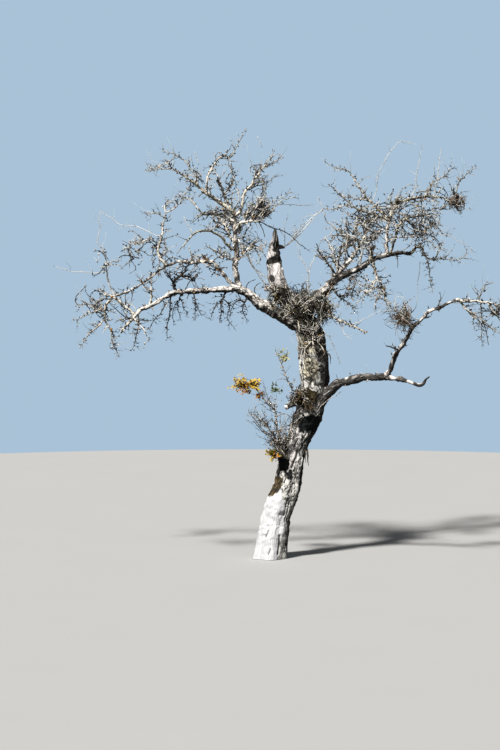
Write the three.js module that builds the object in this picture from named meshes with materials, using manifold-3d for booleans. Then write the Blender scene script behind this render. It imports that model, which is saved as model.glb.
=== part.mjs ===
// Dead orchard tree: a leaning trunk with a broken spar, its boughs, and the bare twigs of its crown.
// Millimetres, +Z up. The origin is the middle of the flat cut at ground level.
// +X is to the right of the tree as it is mostly seen, and +Y is away from that side.
import * as THREE from 'three';
import { mergeVertices } from 'three/addons/utils/BufferGeometryUtils.js';
import Module from 'manifold-3d';

const wasm = await Module();
wasm.setup();

// Driving dimensions
const GAP = 0.3;
const TRUNK_FOOT_RADIUS = 232;
const TRUNK_SIDES = 16;
const TRUNK_RINGS = 40;
const RIBS = 8;
const RIB_SHARE = 0.07;
const RIB_START = 400;
const FLARE_HEIGHT = 260;
const FLARE_LOBES = 5;
const FLARE_DEPTH = 0.16;
const FOOT_RING = 60;
const SPIKE_SIDES = 6;
const LIMB_SIDES = 7;
const STEM_SIDES = 4;
const ARM_SIDES = 3;
const PIECE = 210;
const CROOK = 0.09;
const MASS_CLEARANCE = 3;
const SPACE_MARGIN = 130;
const LOWEST_TWIG = 60;
const SHORTEST_ARM = 0.25;
const FIRST_TWIG = 0.12;
const GOLDEN_ANGLE = 137.5;
const LIMB_SEED = 20;
const MASS_SEED = 10007;
const LINE_SEED = 1009;
const TWIG_SEED = 97;
const THINNEST_ARM = 5;
const TWIG_SHARE = 0.5;

// A walk is a list of steps, each [length, bearing, rise], bearing 0 at +X and 90 at +Y, in degrees.
// The trunk's steps have the radius at their end as a fourth size.
const TRUNK_WALK = [
  [590, 0, 81, 222], [580, 0, 72, 204], [510, 0, 77, 152], [450, 0, 70, 203],
  [420, 0, 76, 195], [430, 0, 88, 224], [390, 180, 82, 196], [300, 180, 70, 176],
  [340, 180, 54, 154], [280, 180, 56, 130], [260, 180, 76, 120], [230, 180, 85, 104],
  [180, 0, 87, 64], [200, 0, 90, 13],
];

// Swellings of the trunk: [height, bearing, how far it stands out, half its width]
const TRUNK_KNOTS = [
  [1460, 195, 62, 105],
  [1480, 285, 30, 90],
  [2080, 250, 34, 150],
  [2140, 20, 30, 140],
  [2700, 0, 34, 60],
  [2930, 280, 26, 190],
  [3350, 320, 40, 160],
];

// Hollows in the trunk: [height, bearing, depth, half height, half width in degrees]
const TRUNK_HOLLOWS = [
  [2035, 285, 60, 130, 54],
  [1400, 246, 42, 120, 28],
  [1330, 276, 30, 75, 22],
  [1030, 214, 20, 170, 22],
  [4450, 262, 18, 60, 70],
];

// Spikes on the broken spar: [share of the trunk's walk, root radius, tip radius, walk]
const SPAR_SPIKES = [
  [0.885, 46, 6, [[110, 350, 22], [75, 355, -12]]],
  [0.7, 48, 32, [[140, 200, 10], [125, 190, -5]]],
];

// Limbs: where each grows from, the share of that limb's walk, radii at root, middle and end, walk
const LIMBS = {
  left_bough: {
    on: 'trunk', at: 0.56, radii: [125, 86, 50],
    walk: [[480, 188, 21], [700, 197, 32], [100, 198, 5]],
  },
  left_bough_outer: {
    on: 'left_bough', at: 0.67, radii: [44, 41, 27],
    walk: [[950, 197, -3], [600, 199, -26]],
  },
  left_riser: {
    on: 'left_bough', at: 0.64, radii: [46, 37, 26],
    walk: [[320, 174, 79], [810, 90, 84]],
  },
  second_bough: {
    on: 'left_bough', at: 0.66, radii: [34, 21, 15],
    walk: [[540, 149, 43], [560, 159, 1], [220, 161, -15], [730, 163, -32], [260, 168, -23]],
  },
  right_bough: {
    on: 'trunk', at: 0.58, radii: [110, 54, 26],
    walk: [[350, 31, 53], [480, 29, 38], [900, 28, 22], [230, 25, 11], [230, 23, -3]],
  },
  right_riser: { on: 'right_bough', at: 0.66, radii: [32, 26, 24], walk: [[300, 117, 87], [270, 8, 79]] },
  low_bough: {
    on: 'trunk', at: 0.31, radii: [120, 62, 42],
    walk: [[440, 345, 47], [200, 330, 35], [430, 336, 15], [380, 337, 4]],
  },
  low_riser: {
    on: 'low_bough', at: 0.99, radii: [40, 29, 20],
    walk: [[330, 319, 63], [540, 331, 58], [350, 340, 41], [410, 341, 25]],
  },
  low_stub: {
    on: 'low_bough', at: 0.98, radii: [36, 33, 27, 10],
    walk: [[300, 338, -9], [240, 342, -15], [190, 340, 44]],
  },
  snag: { on: 'trunk', at: 0.35, radii: [62, 50, 42], walk: [[260, 205, -14], [230, 217, -19]] },
  back_bough: { on: 'trunk', at: 0.58, radii: [95, 52, 26], walk: [[440, 60, 31], [1490, 59, 29]] },
};

// Habits of the twigs: spacing along what they grow on, length, radius, lift towards the sky, joints
const HABITS = {
  open: { spacing: 230, length: 250, radius: 6, lift: 0.25, joints: 2 },
  upright: { spacing: 230, length: 270, radius: 5.5, lift: 0.7, joints: 1 },
  hanging: { spacing: 180, length: 190, radius: 5, lift: -0.6, joints: 1 },
  dense: { spacing: 130, length: 220, radius: 5.5, lift: 0.1, joints: 1 },
};

// Masses of bare twigs: a stem and its arms, each arm [share of the stem, root radius, tip radius, walk]
const MASSES = {
  left_end: {
    on: 'left_bough_outer', at: 1, habit: 'open', radii: [24, 7], stem: [[450, 205, -45]],
    arms: [
      [0.22, 15, 6, [[230, 170, 45], [420, 180, 30]]],
      [0.11, 10, 4, [[170, 85, -50], [450, 155, -75]]],
      [0.3, 9, 4, [[320, 310, -35], [160, 325, -65]]],
    ],
  },
  left_hook: {
    on: 'second_bough', at: 1, habit: 'open', radii: [18, 7],
    stem: [[170, 170, -55], [170, 150, -80], [340, 5, -60]],
    arms: [
      [0.46, 10, 4, [[320, 155, 20], [220, 160, -10]]],
      [0.68, 9, 4, [[360, 210, -40], [250, 210, -55]]],
      [0.89, 8, 4, [[420, 40, -70]]],
      [0.62, 8, 3, [[180, 225, 25], [440, 210, -20]]],
    ],
  },
  left_far_riser: {
    on: 'second_bough', at: 0.97, habit: 'upright', radii: [13, 3],
    stem: [[210, 190, 65], [410, 240, 80], [270, 205, 60], [460, 310, 80]],
    arms: [
      [0.37, 6, 3, [[450, 185, 0], [350, 185, 15]]],
      [0.45, 7, 4, [[280, 35, 5]]],
    ],
  },
  mid_left_riser: {
    on: 'second_bough', at: 0.6, habit: 'open', radii: [17, 6],
    stem: [[160, 170, 50], [140, 125, 75], [560, 40, 75]],
    arms: [
      [0.72, 8, 4, [[180, 205, 15], [340, 205, -15]]],
      [0.77, 6, 3, [[470, 150, 20], [280, 160, 5], [370, 165, 35]]],
      [0.95, 7, 3, [[170, 210, 25], [180, 195, -20]]],
      [0.99, 7, 3, [[110, 105, 65], [370, 20, 40]]],
      [0.99, 8, 4, [[210, 335, 30], [350, 335, 55]]],
    ],
  },
  left_dark_tuft: {
    on: 'left_bough_outer', at: 0.49, habit: 'dense', radii: [17, 6], stem: [[130, 195, 70], [440, 335, 50]],
    arms: [
      [0.5, 10, 4, [[280, 235, 50]]],
      [0.68, 9, 4, [[160, 25, -5], [130, 40, -35]]],
    ],
  },
  left_short_tuft: {
    on: 'left_bough_outer', at: 0.87, habit: 'open', radii: [13, 5], stem: [[470, 70, 80]],
    arms: [[0.42, 8, 4, [[290, 210, 45]]]],
  },
  hanging_far: {
    on: 'left_bough_outer', at: 0.57, habit: 'hanging', radii: [9, 3], stem: [[680, 225, -85]],
    arms: [[0.09, 6, 3, [[430, 220, -45], [180, 210, -60]]]],
  },
  hanging_mid: {
    on: 'left_bough_outer', at: 0.44, habit: 'hanging', radii: [8, 3],
    stem: [[210, 130, -65], [270, 35, -75]],
    arms: [
      [0.24, 6, 3, [[290, 35, -60]]],
      [0.34, 5, 3, [[180, 145, -60], [230, 105, -80]]],
    ],
  },
  hanging_near: {
    on: 'left_bough_outer', at: 0.35, habit: 'hanging', radii: [8, 3], stem: [[470, 290, -80]],
    arms: [[0.32, 5, 3, [[280, 310, -55]]]],
  },
  hanging_inner: {
    on: 'left_bough_outer', at: 0.08, habit: 'hanging', radii: [10, 4],
    stem: [[190, 220, -60], [330, 230, -80]],
    arms: [
      [0.37, 7, 3, [[190, 35, -45], [200, 135, -70], [220, 10, -50]]],
      [0.52, 6, 3, [[180, 215, -35], [170, 220, -70]]],
    ],
  },
  hanging_root: {
    on: 'left_bough', at: 0.56, habit: 'hanging', radii: [10, 3], stem: [[280, 235, -50], [210, 340, -60]],
    arms: [[0.28, 7, 3, [[150, 225, 15], [130, 215, -40], [160, 225, -75]]]],
  },
  arched_branch: {
    on: 'left_riser', at: 0.65, habit: 'open', radii: [17, 7],
    stem: [[380, 210, 40], [300, 215, 15], [160, 205, -20], [410, 215, -45]],
    arms: [],
  },
  crown_left: {
    on: 'left_riser', at: 1, habit: 'open', radii: [25, 6], stem: [[1160, 195, 35], [140, 225, 50]],
    arms: [
      [0.5, 6, 3, [[440, 200, -5]]],
      [0.88, 5, 3, [[370, 165, -20]]],
      [0.32, 9, 3, [[130, 355, 85], [330, 170, 50], [340, 190, 20]]],
      [0.24, 13, 3, [[310, 40, 75], [180, 20, 55], [160, 10, 40], [100, 10, -15], [490, 10, 60]]],
    ],
  },
  crown_under: {
    on: 'left_riser', at: 0.93, habit: 'open', radii: [14, 5],
    stem: [[240, 150, 25], [320, 155, 0], [310, 145, 45], [140, 155, 10]],
    arms: [[0.5, 7, 3, [[310, 135, -30]]]],
  },
  crown_middle: {
    on: 'left_riser', at: 0.96, habit: 'upright', radii: [13, 4], stem: [[430, 130, 55], [430, 155, 65]],
    arms: [[0.5, 10, 3, [[300, 35, 55], [250, 145, 75]]]],
  },
  crown_right: {
    on: 'left_riser', at: 0.98, habit: 'open', radii: [20, 4],
    stem: [[130, 350, 45], [220, 350, 80], [780, 10, 55]],
    arms: [
      [0.78, 7, 3, [[270, 285, 60]]],
      [0.87, 6, 3, [[390, 25, 25]]],
      [0.7, 8, 3, [[390, 35, 15], [190, 25, 50]]],
    ],
  },
  broom_top: {
    on: 'left_riser', at: 0.84, habit: 'dense', radii: [22, 9], stem: [[200, 320, 40], [330, 345, 5]],
    arms: [
      [0.55, 10, 4, [[320, 300, 55]]],
      [0.69, 10, 4, [[490, 25, 60], [180, 155, 75]]],
      [0.83, 8, 4, [[330, 325, 50]]],
      [0.87, 7, 3, [[440, 0, 40], [260, 5, 20]]],
      [0.91, 6, 3, [[290, 35, 55], [370, 15, 30]]],
      [0.83, 7, 3, [[470, 15, -20], [490, 10, -40]]],
    ],
  },
  crown_back: {
    on: 'left_riser', at: 0.68, habit: 'open', radii: [17, 5], stem: [[690, 105, 25], [670, 110, 25]],
    arms: [
      [0.46, 9, 3, [[530, 65, 35]]],
      [0.62, 8, 3, [[460, 130, -15]]],
    ],
  },
  riser_left_twigs: {
    on: 'left_riser', at: 0.57, habit: 'open', radii: [9, 4], stem: [[190, 220, 15], [410, 210, 25]],
    arms: [],
  },
  riser_right_twigs: {
    on: 'left_riser', at: 0.54, habit: 'open', radii: [9, 4], stem: [[200, 315, 40], [380, 330, 45]],
    arms: [[0.66, 6, 3, [[140, 340, 5], [160, 345, -30]]]],
  },
  fork_shoot_left: {
    on: 'trunk', at: 0.71, habit: 'open', radii: [10, 4],
    stem: [[500, 160, 35], [470, 155, 60]],
    arms: [],
  },
  thicket_left: {
    on: 'trunk', at: 0.65, habit: 'dense', radii: [14, 6], stem: [[410, 235, 15]],
    arms: [
      [0.48, 8, 4, [[330, 220, -30]]],
      [0.57, 8, 4, [[290, 270, 50]]],
      [0.6, 8, 4, [[200, 185, 45], [130, 195, 25]]],
    ],
  },
  thicket_front: {
    on: 'trunk', at: 0.59, habit: 'dense', radii: [15, 6], stem: [[490, 262, 25]],
    arms: [
      [0.5, 8, 4, [[360, 320, 35]]],
      [0.62, 8, 4, [[180, 220, -15], [150, 205, -35]]],
      [0.56, 8, 4, [[390, 265, -65]]],
    ],
  },
  thicket_right: {
    on: 'right_bough', at: 0.22, habit: 'dense', radii: [14, 6], stem: [[220, 295, -25], [160, 305, 10]],
    arms: [
      [0.37, 8, 4, [[180, 340, -25], [110, 345, 20]]],
      [0.5, 8, 4, [[180, 260, -35], [160, 295, -70]]],
      [0.69, 7, 4, [[330, 310, 55]]],
    ],
  },
  thicket_low: {
    on: 'trunk', at: 0.53, habit: 'dense', radii: [13, 5],
    stem: [[250, 285, -10], [150, 275, -25], [170, 265, -60]],
    arms: [
      [0.53, 7, 4, [[170, 335, -35], [160, 340, -70]]],
      [0.62, 7, 4, [[180, 205, -45], [160, 220, -80]]],
    ],
  },
  thicket_back: {
    on: 'trunk', at: 0.6, habit: 'dense', radii: [14, 6], stem: [[520, 100, 30]],
    arms: [
      [0.55, 8, 4, [[380, 40, 35]]],
      [0.66, 8, 4, [[340, 135, -35]]],
      [0.5, 8, 4, [[300, 55, -45], [180, 85, -75]]],
    ],
  },
  fork_shoot_right: {
    on: 'right_bough', at: 0.15, habit: 'upright', radii: [9, 3], stem: [[460, 245, 80], [540, 195, 70]],
    arms: [[0.46, 6, 3, [[370, 45, 60]]]],
  },
  broken_low_shoot: {
    on: 'trunk', at: 0.56, habit: 'open', radii: [16, 9],
    stem: [[220, 345, 15], [260, 310, 15], [280, 310, -15], [490, 320, -15]],
    arms: [
      [0.64, 5, 2, [[420, 320, -45]]],
      [0.84, 5, 2, [[570, 330, 25]]],
    ],
  },
  bough_shoot_near: {
    on: 'right_bough', at: 0.38, habit: 'open', radii: [10, 4], stem: [[200, 250, 65], [380, 220, 50]],
    arms: [[0.67, 6, 3, [[260, 155, 35]]]],
  },
  bough_shoot_mid: {
    on: 'right_bough', at: 0.41, habit: 'upright', radii: [10, 4], stem: [[200, 120, 85], [350, 10, 75]],
    arms: [[0.66, 6, 3, [[280, 35, 40]]]],
  },
  bough_shoot_far: {
    on: 'right_bough', at: 0.44, habit: 'upright', radii: [9, 4], stem: [[220, 260, 70], [430, 285, 75]],
    arms: [],
  },
  right_pale_arm: {
    on: 'right_bough', at: 0.5, habit: 'open', radii: [20, 4],
    stem: [[330, 300, 80], [160, 210, 55], [390, 200, 25], [160, 200, 35], [400, 210, 65]],
    arms: [
      [0.59, 6, 3, [[340, 150, -40], [130, 135, -65]]],
      [0.9, 6, 3, [[670, 205, -40]]],
    ],
  },
  right_stump: {
    on: 'right_bough', at: 0.55, habit: 'open', radii: [27, 22], stem: [[200, 260, 75]],
    arms: [[0.68, 8, 3, [[170, 225, 45], [230, 330, 30]]]],
  },
  right_left_arm: {
    on: 'right_riser', at: 0.9, habit: 'open', radii: [18, 5], stem: [[740, 200, 20], [320, 195, -15]],
    arms: [
      [0.23, 8, 3, [[330, 210, -30]]],
      [0.45, 7, 3, [[500, 205, 40]]],
    ],
  },
  right_upper_arm: {
    on: 'right_riser', at: 0.96, habit: 'open', radii: [15, 3],
    stem: [[570, 155, 40], [420, 150, 55], [410, 175, 20]],
    arms: [
      [0.25, 9, 3, [[490, 155, 10]]],
      [0.22, 5, 2, [[490, 320, 75], [310, 345, 60], [250, 355, 45], [230, 355, -5]]],
    ],
  },
  right_top_arm: {
    on: 'right_riser', at: 1, habit: 'dense', radii: [22, 9],
    stem: [[250, 35, 58], [150, 15, 20], [340, 15, 10], [410, 15, -10]],
    arms: [
      [0.58, 7, 3, [[790, 330, 80]]],
      [0.73, 9, 3, [[210, 45, 50], [510, 25, 35]]],
      [0.81, 6, 3, [[750, 25, 80]]],
      [0.99, 8, 3, [[360, 325, 65], [320, 350, 40]]],
      [0.97, 9, 4, [[300, 25, -40]]],
      [0.98, 8, 4, [[190, 30, 10], [140, 30, -50]]],
    ],
  },
  right_ring: {
    on: 'right_bough', at: 0.7, habit: 'open', radii: [15, 5],
    stem: [[500, 300, 60], [130, 345, 55], [350, 340, 10], [140, 345, -20], [160, 330, -75]],
    arms: [
      [0.12, 9, 3, [[400, 335, 5], [470, 340, -30]]],
      [0.4, 8, 3, [[200, 30, -35], [200, 20, 15], [210, 15, -20], [210, 20, -45]]],
    ],
  },
  right_end: {
    on: 'right_bough', at: 1, habit: 'open', radii: [19, 4],
    stem: [[130, 25, 45], [90, 20, 0], [170, 25, -55], [120, 15, -25], [330, 20, 55]],
    arms: [
      [0.6, 8, 3, [[560, 310, -75]]],
      [0.8, 7, 3, [[430, 20, 0], [260, 20, 35]]],
    ],
  },
  right_droop: {
    on: 'right_bough', at: 0.56, habit: 'hanging', radii: [15, 5], stem: [[240, 280, -50], [660, 300, -50]],
    arms: [
      [0.57, 8, 3, [[640, 215, -45]]],
      [0.77, 7, 3, [[220, 230, -35], [180, 250, -60]]],
    ],
  },
  low_tip: {
    on: 'low_riser', at: 1, habit: 'dense', radii: [18, 4], stem: [[530, 350, -5], [440, 0, -20]],
    arms: [
      [0.06, 13, 4, [[370, 25, -45], [400, 15, -30]]],
      [0.35, 8, 3, [[740, 80, -65]]],
      [0.5, 8, 3, [[240, 75, -50], [320, 285, 25], [200, 300, 50]]],
      [0.31, 7, 3, [[360, 315, 50]]],
      [0.64, 7, 3, [[410, 30, -65]]],
    ],
  },
  low_broom: {
    on: 'low_riser', at: 0.5, habit: 'dense', radii: [15, 6], stem: [[270, 230, 30]],
    arms: [
      [0.37, 8, 4, [[270, 190, 15]]],
      [0.5, 8, 4, [[290, 220, 75]]],
      [0.69, 7, 4, [[290, 205, 40]]],
    ],
  },
  low_snag: {
    on: 'low_riser', at: 0.32, habit: 'open', radii: [10, 6], stem: [[270, 215, 10]],
    arms: [],
  },
  trunk_sprout: {
    on: 'trunk', at: 0.19, habit: 'dense', radii: [30, 8], stem: [[260, 235, 25], [140, 235, 65]],
    arms: [
      [0.89, 9, 3, [[420, 205, 55], [390, 195, 40]]],
      [0.93, 9, 3, [[550, 170, 80], [540, 185, 50], [210, 185, -10]]],
      [0.77, 8, 3, [[620, 325, 70]]],
      [0.68, 7, 3, [[350, 210, 35]]],
    ],
  },
  trunk_sprig: {
    on: 'trunk', at: 0.36, habit: 'upright', radii: [9, 3],
    stem: [[300, 215, 5], [270, 225, 45], [510, 205, 65]],
    arms: [],
  },
  back_crown: {
    on: 'back_bough', at: 1, habit: 'open', radii: [22, 5], stem: [[470, 55, 45], [240, 50, 70]],
    arms: [
      [0.08, 10, 4, [[410, 145, 35]]],
      [0.26, 10, 4, [[600, 20, 30]]],
    ],
  },
  back_shoot: {
    on: 'back_bough', at: 0.79, habit: 'open', radii: [14, 4], stem: [[480, 110, 50], [220, 135, 50]],
    arms: [[0.31, 8, 3, [[220, 40, 30], [210, 40, 55]]]],
  },
  back_droop: {
    on: 'back_bough', at: 0.67, habit: 'hanging', radii: [13, 4], stem: [[520, 50, -30], [220, 30, -55]],
    arms: [[0.3, 7, 3, [[410, 45, 0]]]],
  },
  spar_shoots: {
    on: 'trunk', at: 0.91, habit: 'upright', radii: [12, 3],
    stem: [[170, 10, 0], [230, 25, 35], [540, 25, 45]],
    arms: [[0.33, 4, 2, [[250, 260, 70], [290, 315, 75]]]],
  },
};

const BARK = new THREE.MeshStandardMaterial({ color: 0x6f675b, roughness: 0.94, metalness: 0 });
const BOUGH_BARK = new THREE.MeshStandardMaterial({ color: 0x645d53, roughness: 0.93, metalness: 0 });
const TWIG_BARK = new THREE.MeshStandardMaterial({ color: 0x8a8070, roughness: 0.9, metalness: 0 });

const UP = new THREE.Vector3(0, 0, 1);
const RIGHT = new THREE.Vector3(1, 0, 0);

// Seeded draws between 0 and 1
function drawsFrom(seed) {
  let state = seed >>> 0;
  return () => {
    state = (state + 0x6d2b79f5) >>> 0;
    let mixed = Math.imul(state ^ (state >>> 15), 1 | state);
    mixed = (mixed + Math.imul(mixed ^ (mixed >>> 7), 61 | mixed)) ^ mixed;
    return ((mixed ^ (mixed >>> 14)) >>> 0) / 4294967296;
  };
}

// Shares from 0 to 1 in equal parts
function evenShares(parts) {
  return Array.from({ length: parts + 1 }, (_, i) => i / parts);
}

function headingOf(bearing, rise) {
  const round = THREE.MathUtils.degToRad(bearing);
  const lift = THREE.MathUtils.degToRad(rise);
  return new THREE.Vector3(
    Math.cos(lift) * Math.cos(round),
    Math.cos(lift) * Math.sin(round),
    Math.sin(lift),
  );
}

// A level direction across a heading, and the one square to both
function acrossOf(heading) {
  const side = Math.abs(heading.z) < 0.98 ? UP : RIGHT;
  const level = new THREE.Vector3().crossVectors(heading, side).normalize();
  const over = new THREE.Vector3().crossVectors(level, heading);
  return [level, over];
}

// The crooked middle line of a limb: its walk in short pieces, each swayed a little to one side
class Route {
  constructor(start, walk, seed, crook = CROOK, piece = PIECE) {
    const draw = drawsFrom(seed);
    this.points = [start.clone()];
    this.marks = [0];
    for (const [length, bearing, rise] of walk) {
      const from = this.points.at(-1);
      const heading = headingOf(bearing, rise);
      const [level, over] = acrossOf(heading);
      const pieces = Math.max(1, Math.round(length / piece));
      for (let k = 1; k <= pieces; k += 1) {
        const sway = k < pieces ? crook * length / pieces : 0;
        const point = from.clone().addScaledVector(heading, length * k / pieces);
        point.addScaledVector(level, sway * (2 * draw() - 1));
        point.addScaledVector(over, sway * (2 * draw() - 1));
        this.points.push(point);
      }
      this.marks.push(this.points.length - 1);
    }
    this.curve = new THREE.CatmullRomCurve3(this.points, false, 'centripetal');
    this.length = walk.reduce((sum, step) => sum + step[0], 0);
  }

  // The curve's own parameter at a share of the walk's steps
  parameter(share) {
    const step = share * (this.marks.length - 1);
    const k = Math.min(Math.floor(step), this.marks.length - 2);
    return (this.marks[k] + (step - k) * (this.marks[k + 1] - this.marks[k])) / (this.points.length - 1);
  }

  // The point on the straight pieces at the curve's parameter, inside the faceted limb
  chordPoint(parameter) {
    const piece = parameter * (this.points.length - 1);
    const k = Math.min(Math.floor(piece), this.points.length - 2);
    return this.points[k].clone().lerp(this.points[k + 1], piece - k);
  }

  pointAt(share) {
    return this.chordPoint(this.parameter(share));
  }
}

// Radius part of the way along, straight from each listed size to the next
function sizeAlong(sizes, share) {
  const step = share * (sizes.length - 1);
  const k = Math.min(Math.floor(step), sizes.length - 2);
  return sizes[k] + (step - k) * (sizes[k + 1] - sizes[k]);
}

// Directions square to a curve at each of its rings, carried along without twist
function ringFrames(curve, shares) {
  const frames = [];
  let normal = acrossOf(curve.getTangent(0))[0];
  for (const share of shares) {
    const along = curve.getTangent(share);
    normal = normal.clone().addScaledVector(along, -normal.dot(along)).normalize();
    frames.push({ normal, binormal: new THREE.Vector3().crossVectors(along, normal) });
  }
  return frames;
}

// A cylinder or cone bent along a curve, with a ring at each of the curve's parameters in the list;
// radiusAt takes the parameter, the direction outwards and the middle of the ring
function bentGeometry(curve, sides, shares, radiusAt, pointed) {
  const rings = shares.length - 1;
  const geometry = pointed
    ? new THREE.ConeGeometry(1, 1, sides, rings)
    : new THREE.CylinderGeometry(1, 1, 1, sides, rings);
  const frames = ringFrames(curve, shares);
  const position = geometry.attributes.position;
  const place = new THREE.Vector3();
  const outward = new THREE.Vector3();
  for (let i = 0; i < position.count; i += 1) {
    const ring = Math.round((position.getY(i) + 0.5) * rings);
    const reach = Math.hypot(position.getX(i), position.getZ(i));
    curve.getPoint(shares[ring], place);
    if (reach > 1e-6) {
      outward.copy(frames[ring].binormal).multiplyScalar(position.getX(i) / reach);
      outward.addScaledVector(frames[ring].normal, position.getZ(i) / reach);
      place.addScaledVector(outward, radiusAt(shares[ring], outward, place));
    }
    position.setXYZ(i, place.x, place.y, place.z);
  }
  return geometry;
}

function solidOf(geometry) {
  geometry.deleteAttribute('normal');
  geometry.deleteAttribute('uv');
  const merged = mergeVertices(geometry, 1e-3);
  return new wasm.Manifold(new wasm.Mesh({
    numProp: 3,
    vertProperties: new Float32Array(merged.attributes.position.array),
    triVerts: new Uint32Array(merged.index.array),
  }));
}

// The largest of the bodies that a cut leaves
function largestBody(solid) {
  return solid.decompose().reduce((best, body) => (body.volume() > best.volume() ? body : best));
}

function boxesMeet(a, b) {
  const boxA = a.boundingBox();
  const boxB = b.boundingBox();
  return [0, 1, 2].every((k) => boxA.min[k] <= boxB.max[k] && boxB.min[k] <= boxA.max[k]);
}

// The tube of a route, with a ring at each joint of its pieces and its radii between the listed sizes
function tube(route, radii, sides, grown = 0, until = 1) {
  const curve = until < 1 ? shortened(route, until) : lengthened(route.curve, grown);
  const radiusAt = (parameter) => sizeAlong(radii, parameter * until) + grown;
  return solidOf(bentGeometry(curve, sides, evenShares(curve.points.length - 1), radiusAt, false));
}

// A curve with its end a little further on
function lengthened(curve, more) {
  const points = curve.points.map((point) => point.clone());
  points.at(-1).addScaledVector(curve.getTangent(1), more);
  return new THREE.CatmullRomCurve3(points, false, 'centripetal');
}

// The first share of a route's curve
function shortened(route, until) {
  const count = Math.max(2, Math.ceil((route.points.length - 1) * until));
  const points = evenShares(count).map((share) => route.curve.getPoint(until * share));
  return new THREE.CatmullRomCurve3(points, false, 'centripetal');
}

// Limbs and twigs so far, as straight capsules { owner, line, radius }
const capsules = [];

function capsulesOf(owner, route, radii, until = 1) {
  const count = Math.max(1, Math.round((route.points.length - 1) * until));
  const ends = evenShares(count).map((share) => route.curve.getPoint(until * share));
  return ends.slice(1).map((end, i) => ({
    owner,
    line: new THREE.Line3(ends[i], end),
    radius: sizeAlong(radii, until * i / count),
  }));
}

// Whether two capsules are nearer than the clearance
function nearEachOther(a, b) {
  const need = a.radius + b.radius + MASS_CLEARANCE;
  const far = need + (a.line.distance() + b.line.distance()) / 2;
  const middle = a.line.getCenter(new THREE.Vector3());
  const apart = middle.distanceToSquared(b.line.getCenter(new THREE.Vector3()));
  return apart < far * far && a.line.distanceSqToLine3(b.line) < need * need;
}

function touchesOthers(owner, own) {
  const others = capsules.filter((other) => other.owner !== owner);
  return others.some((other) => own.some((capsule) => nearEachOther(capsule, other)));
}

// How far along an arm may run before it would touch another limb or mass
function clearShare(owner, route, radii) {
  const own = capsulesOf(owner, route, radii);
  const others = capsules.filter((other) => other.owner !== owner);
  const first = own.findIndex((capsule) => others.some((other) => nearEachOther(capsule, other)));
  return first < 0 ? 1 : Math.max(0, first - 0.5) / own.length;
}

// Trunk
const TRUNK_RADII = [TRUNK_FOOT_RADIUS, ...TRUNK_WALK.map((step) => step[3])];

// Degrees between two bearings, at most 180
function degreesApart(a, b) {
  return Math.abs(THREE.MathUtils.euclideanModulo(a - b + 180, 360) - 180);
}

function trunkRadius(share, outward, place) {
  const bearing = Math.atan2(outward.y, outward.x);
  const ribs = 0.5 - 0.5 * Math.cos(RIBS * bearing);
  const lobes = 0.5 + 0.5 * Math.cos(FLARE_LOBES * bearing + 1);
  let radius = sizeAlong(TRUNK_RADII, share) * (1 + FLARE_DEPTH * lobes * Math.exp(-place.z / FLARE_HEIGHT));
  for (const [height, knotBearing, depth, half] of TRUNK_KNOTS) {
    const round = radius * (1 - Math.cos(bearing - THREE.MathUtils.degToRad(knotBearing)));
    const away = Math.hypot(place.z - height, 1.6 * round);
    radius += depth * Math.exp(-((away / half) ** 2));
  }
  for (const [height, hollowBearing, depth, halfHeight, halfTurn] of TRUNK_HOLLOWS) {
    const turned = degreesApart(THREE.MathUtils.radToDeg(bearing), hollowBearing);
    radius -= depth * Math.exp(-(Math.hypot((place.z - height) / halfHeight, turned / halfTurn) ** 4));
  }
  return radius * (1 - RIB_SHARE * ribs * (1 - Math.exp(-place.z / RIB_START)));
}

// The trunk with the spikes of its broken spar; its lowest ring lies level, as the flat cut
function trunkSolid(route, grown) {
  const radiusAt = (...at) => trunkRadius(...at) + grown;
  const shares = evenShares(TRUNK_RINGS).map((share) => route.curve.getUtoTmapping(share));
  const geometry = bentGeometry(route.curve, TRUNK_SIDES, shares, radiusAt, false);
  const position = geometry.attributes.position;
  for (let i = 0; i < position.count; i += 1) {
    if (position.getZ(i) < FOOT_RING) position.setZ(i, 0);
  }
  const spikes = SPAR_SPIKES.map(([share, root, tip, walk]) => (
    tube(new Route(route.pointAt(share), walk, 1, 0), [root, tip], SPIKE_SIDES, grown)
  ));
  return spikes.reduce((solid, spike) => solid.add(spike), solidOf(geometry));
}

const routes = {};
const solids = {};
const keepClear = [];

// A solid cut clear of what it grows among
function cutClear(solid) {
  const near = keepClear.filter((other) => boxesMeet(solid, other));
  return largestBody(near.reduce((left, other) => left.subtract(other), solid));
}

routes.trunk = new Route(new THREE.Vector3(), TRUNK_WALK, 1, 0, Infinity);
solids.trunk = trunkSolid(routes.trunk, 0);
keepClear.push(trunkSolid(routes.trunk, GAP));
capsules.push(...capsulesOf('trunk', routes.trunk, TRUNK_RADII));

// Limbs, in order, from the middle of what they grow on
Object.entries(LIMBS).forEach(([name, { on, at, radii, walk }], index) => {
  const route = new Route(routes[on].pointAt(at), walk, LIMB_SEED + index);
  routes[name] = route;
  solids[name] = cutClear(tube(route, radii, LIMB_SIDES));
  keepClear.push(tube(route, radii, LIMB_SIDES, GAP));
  capsules.push(...capsulesOf(name, route, radii));
});

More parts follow.
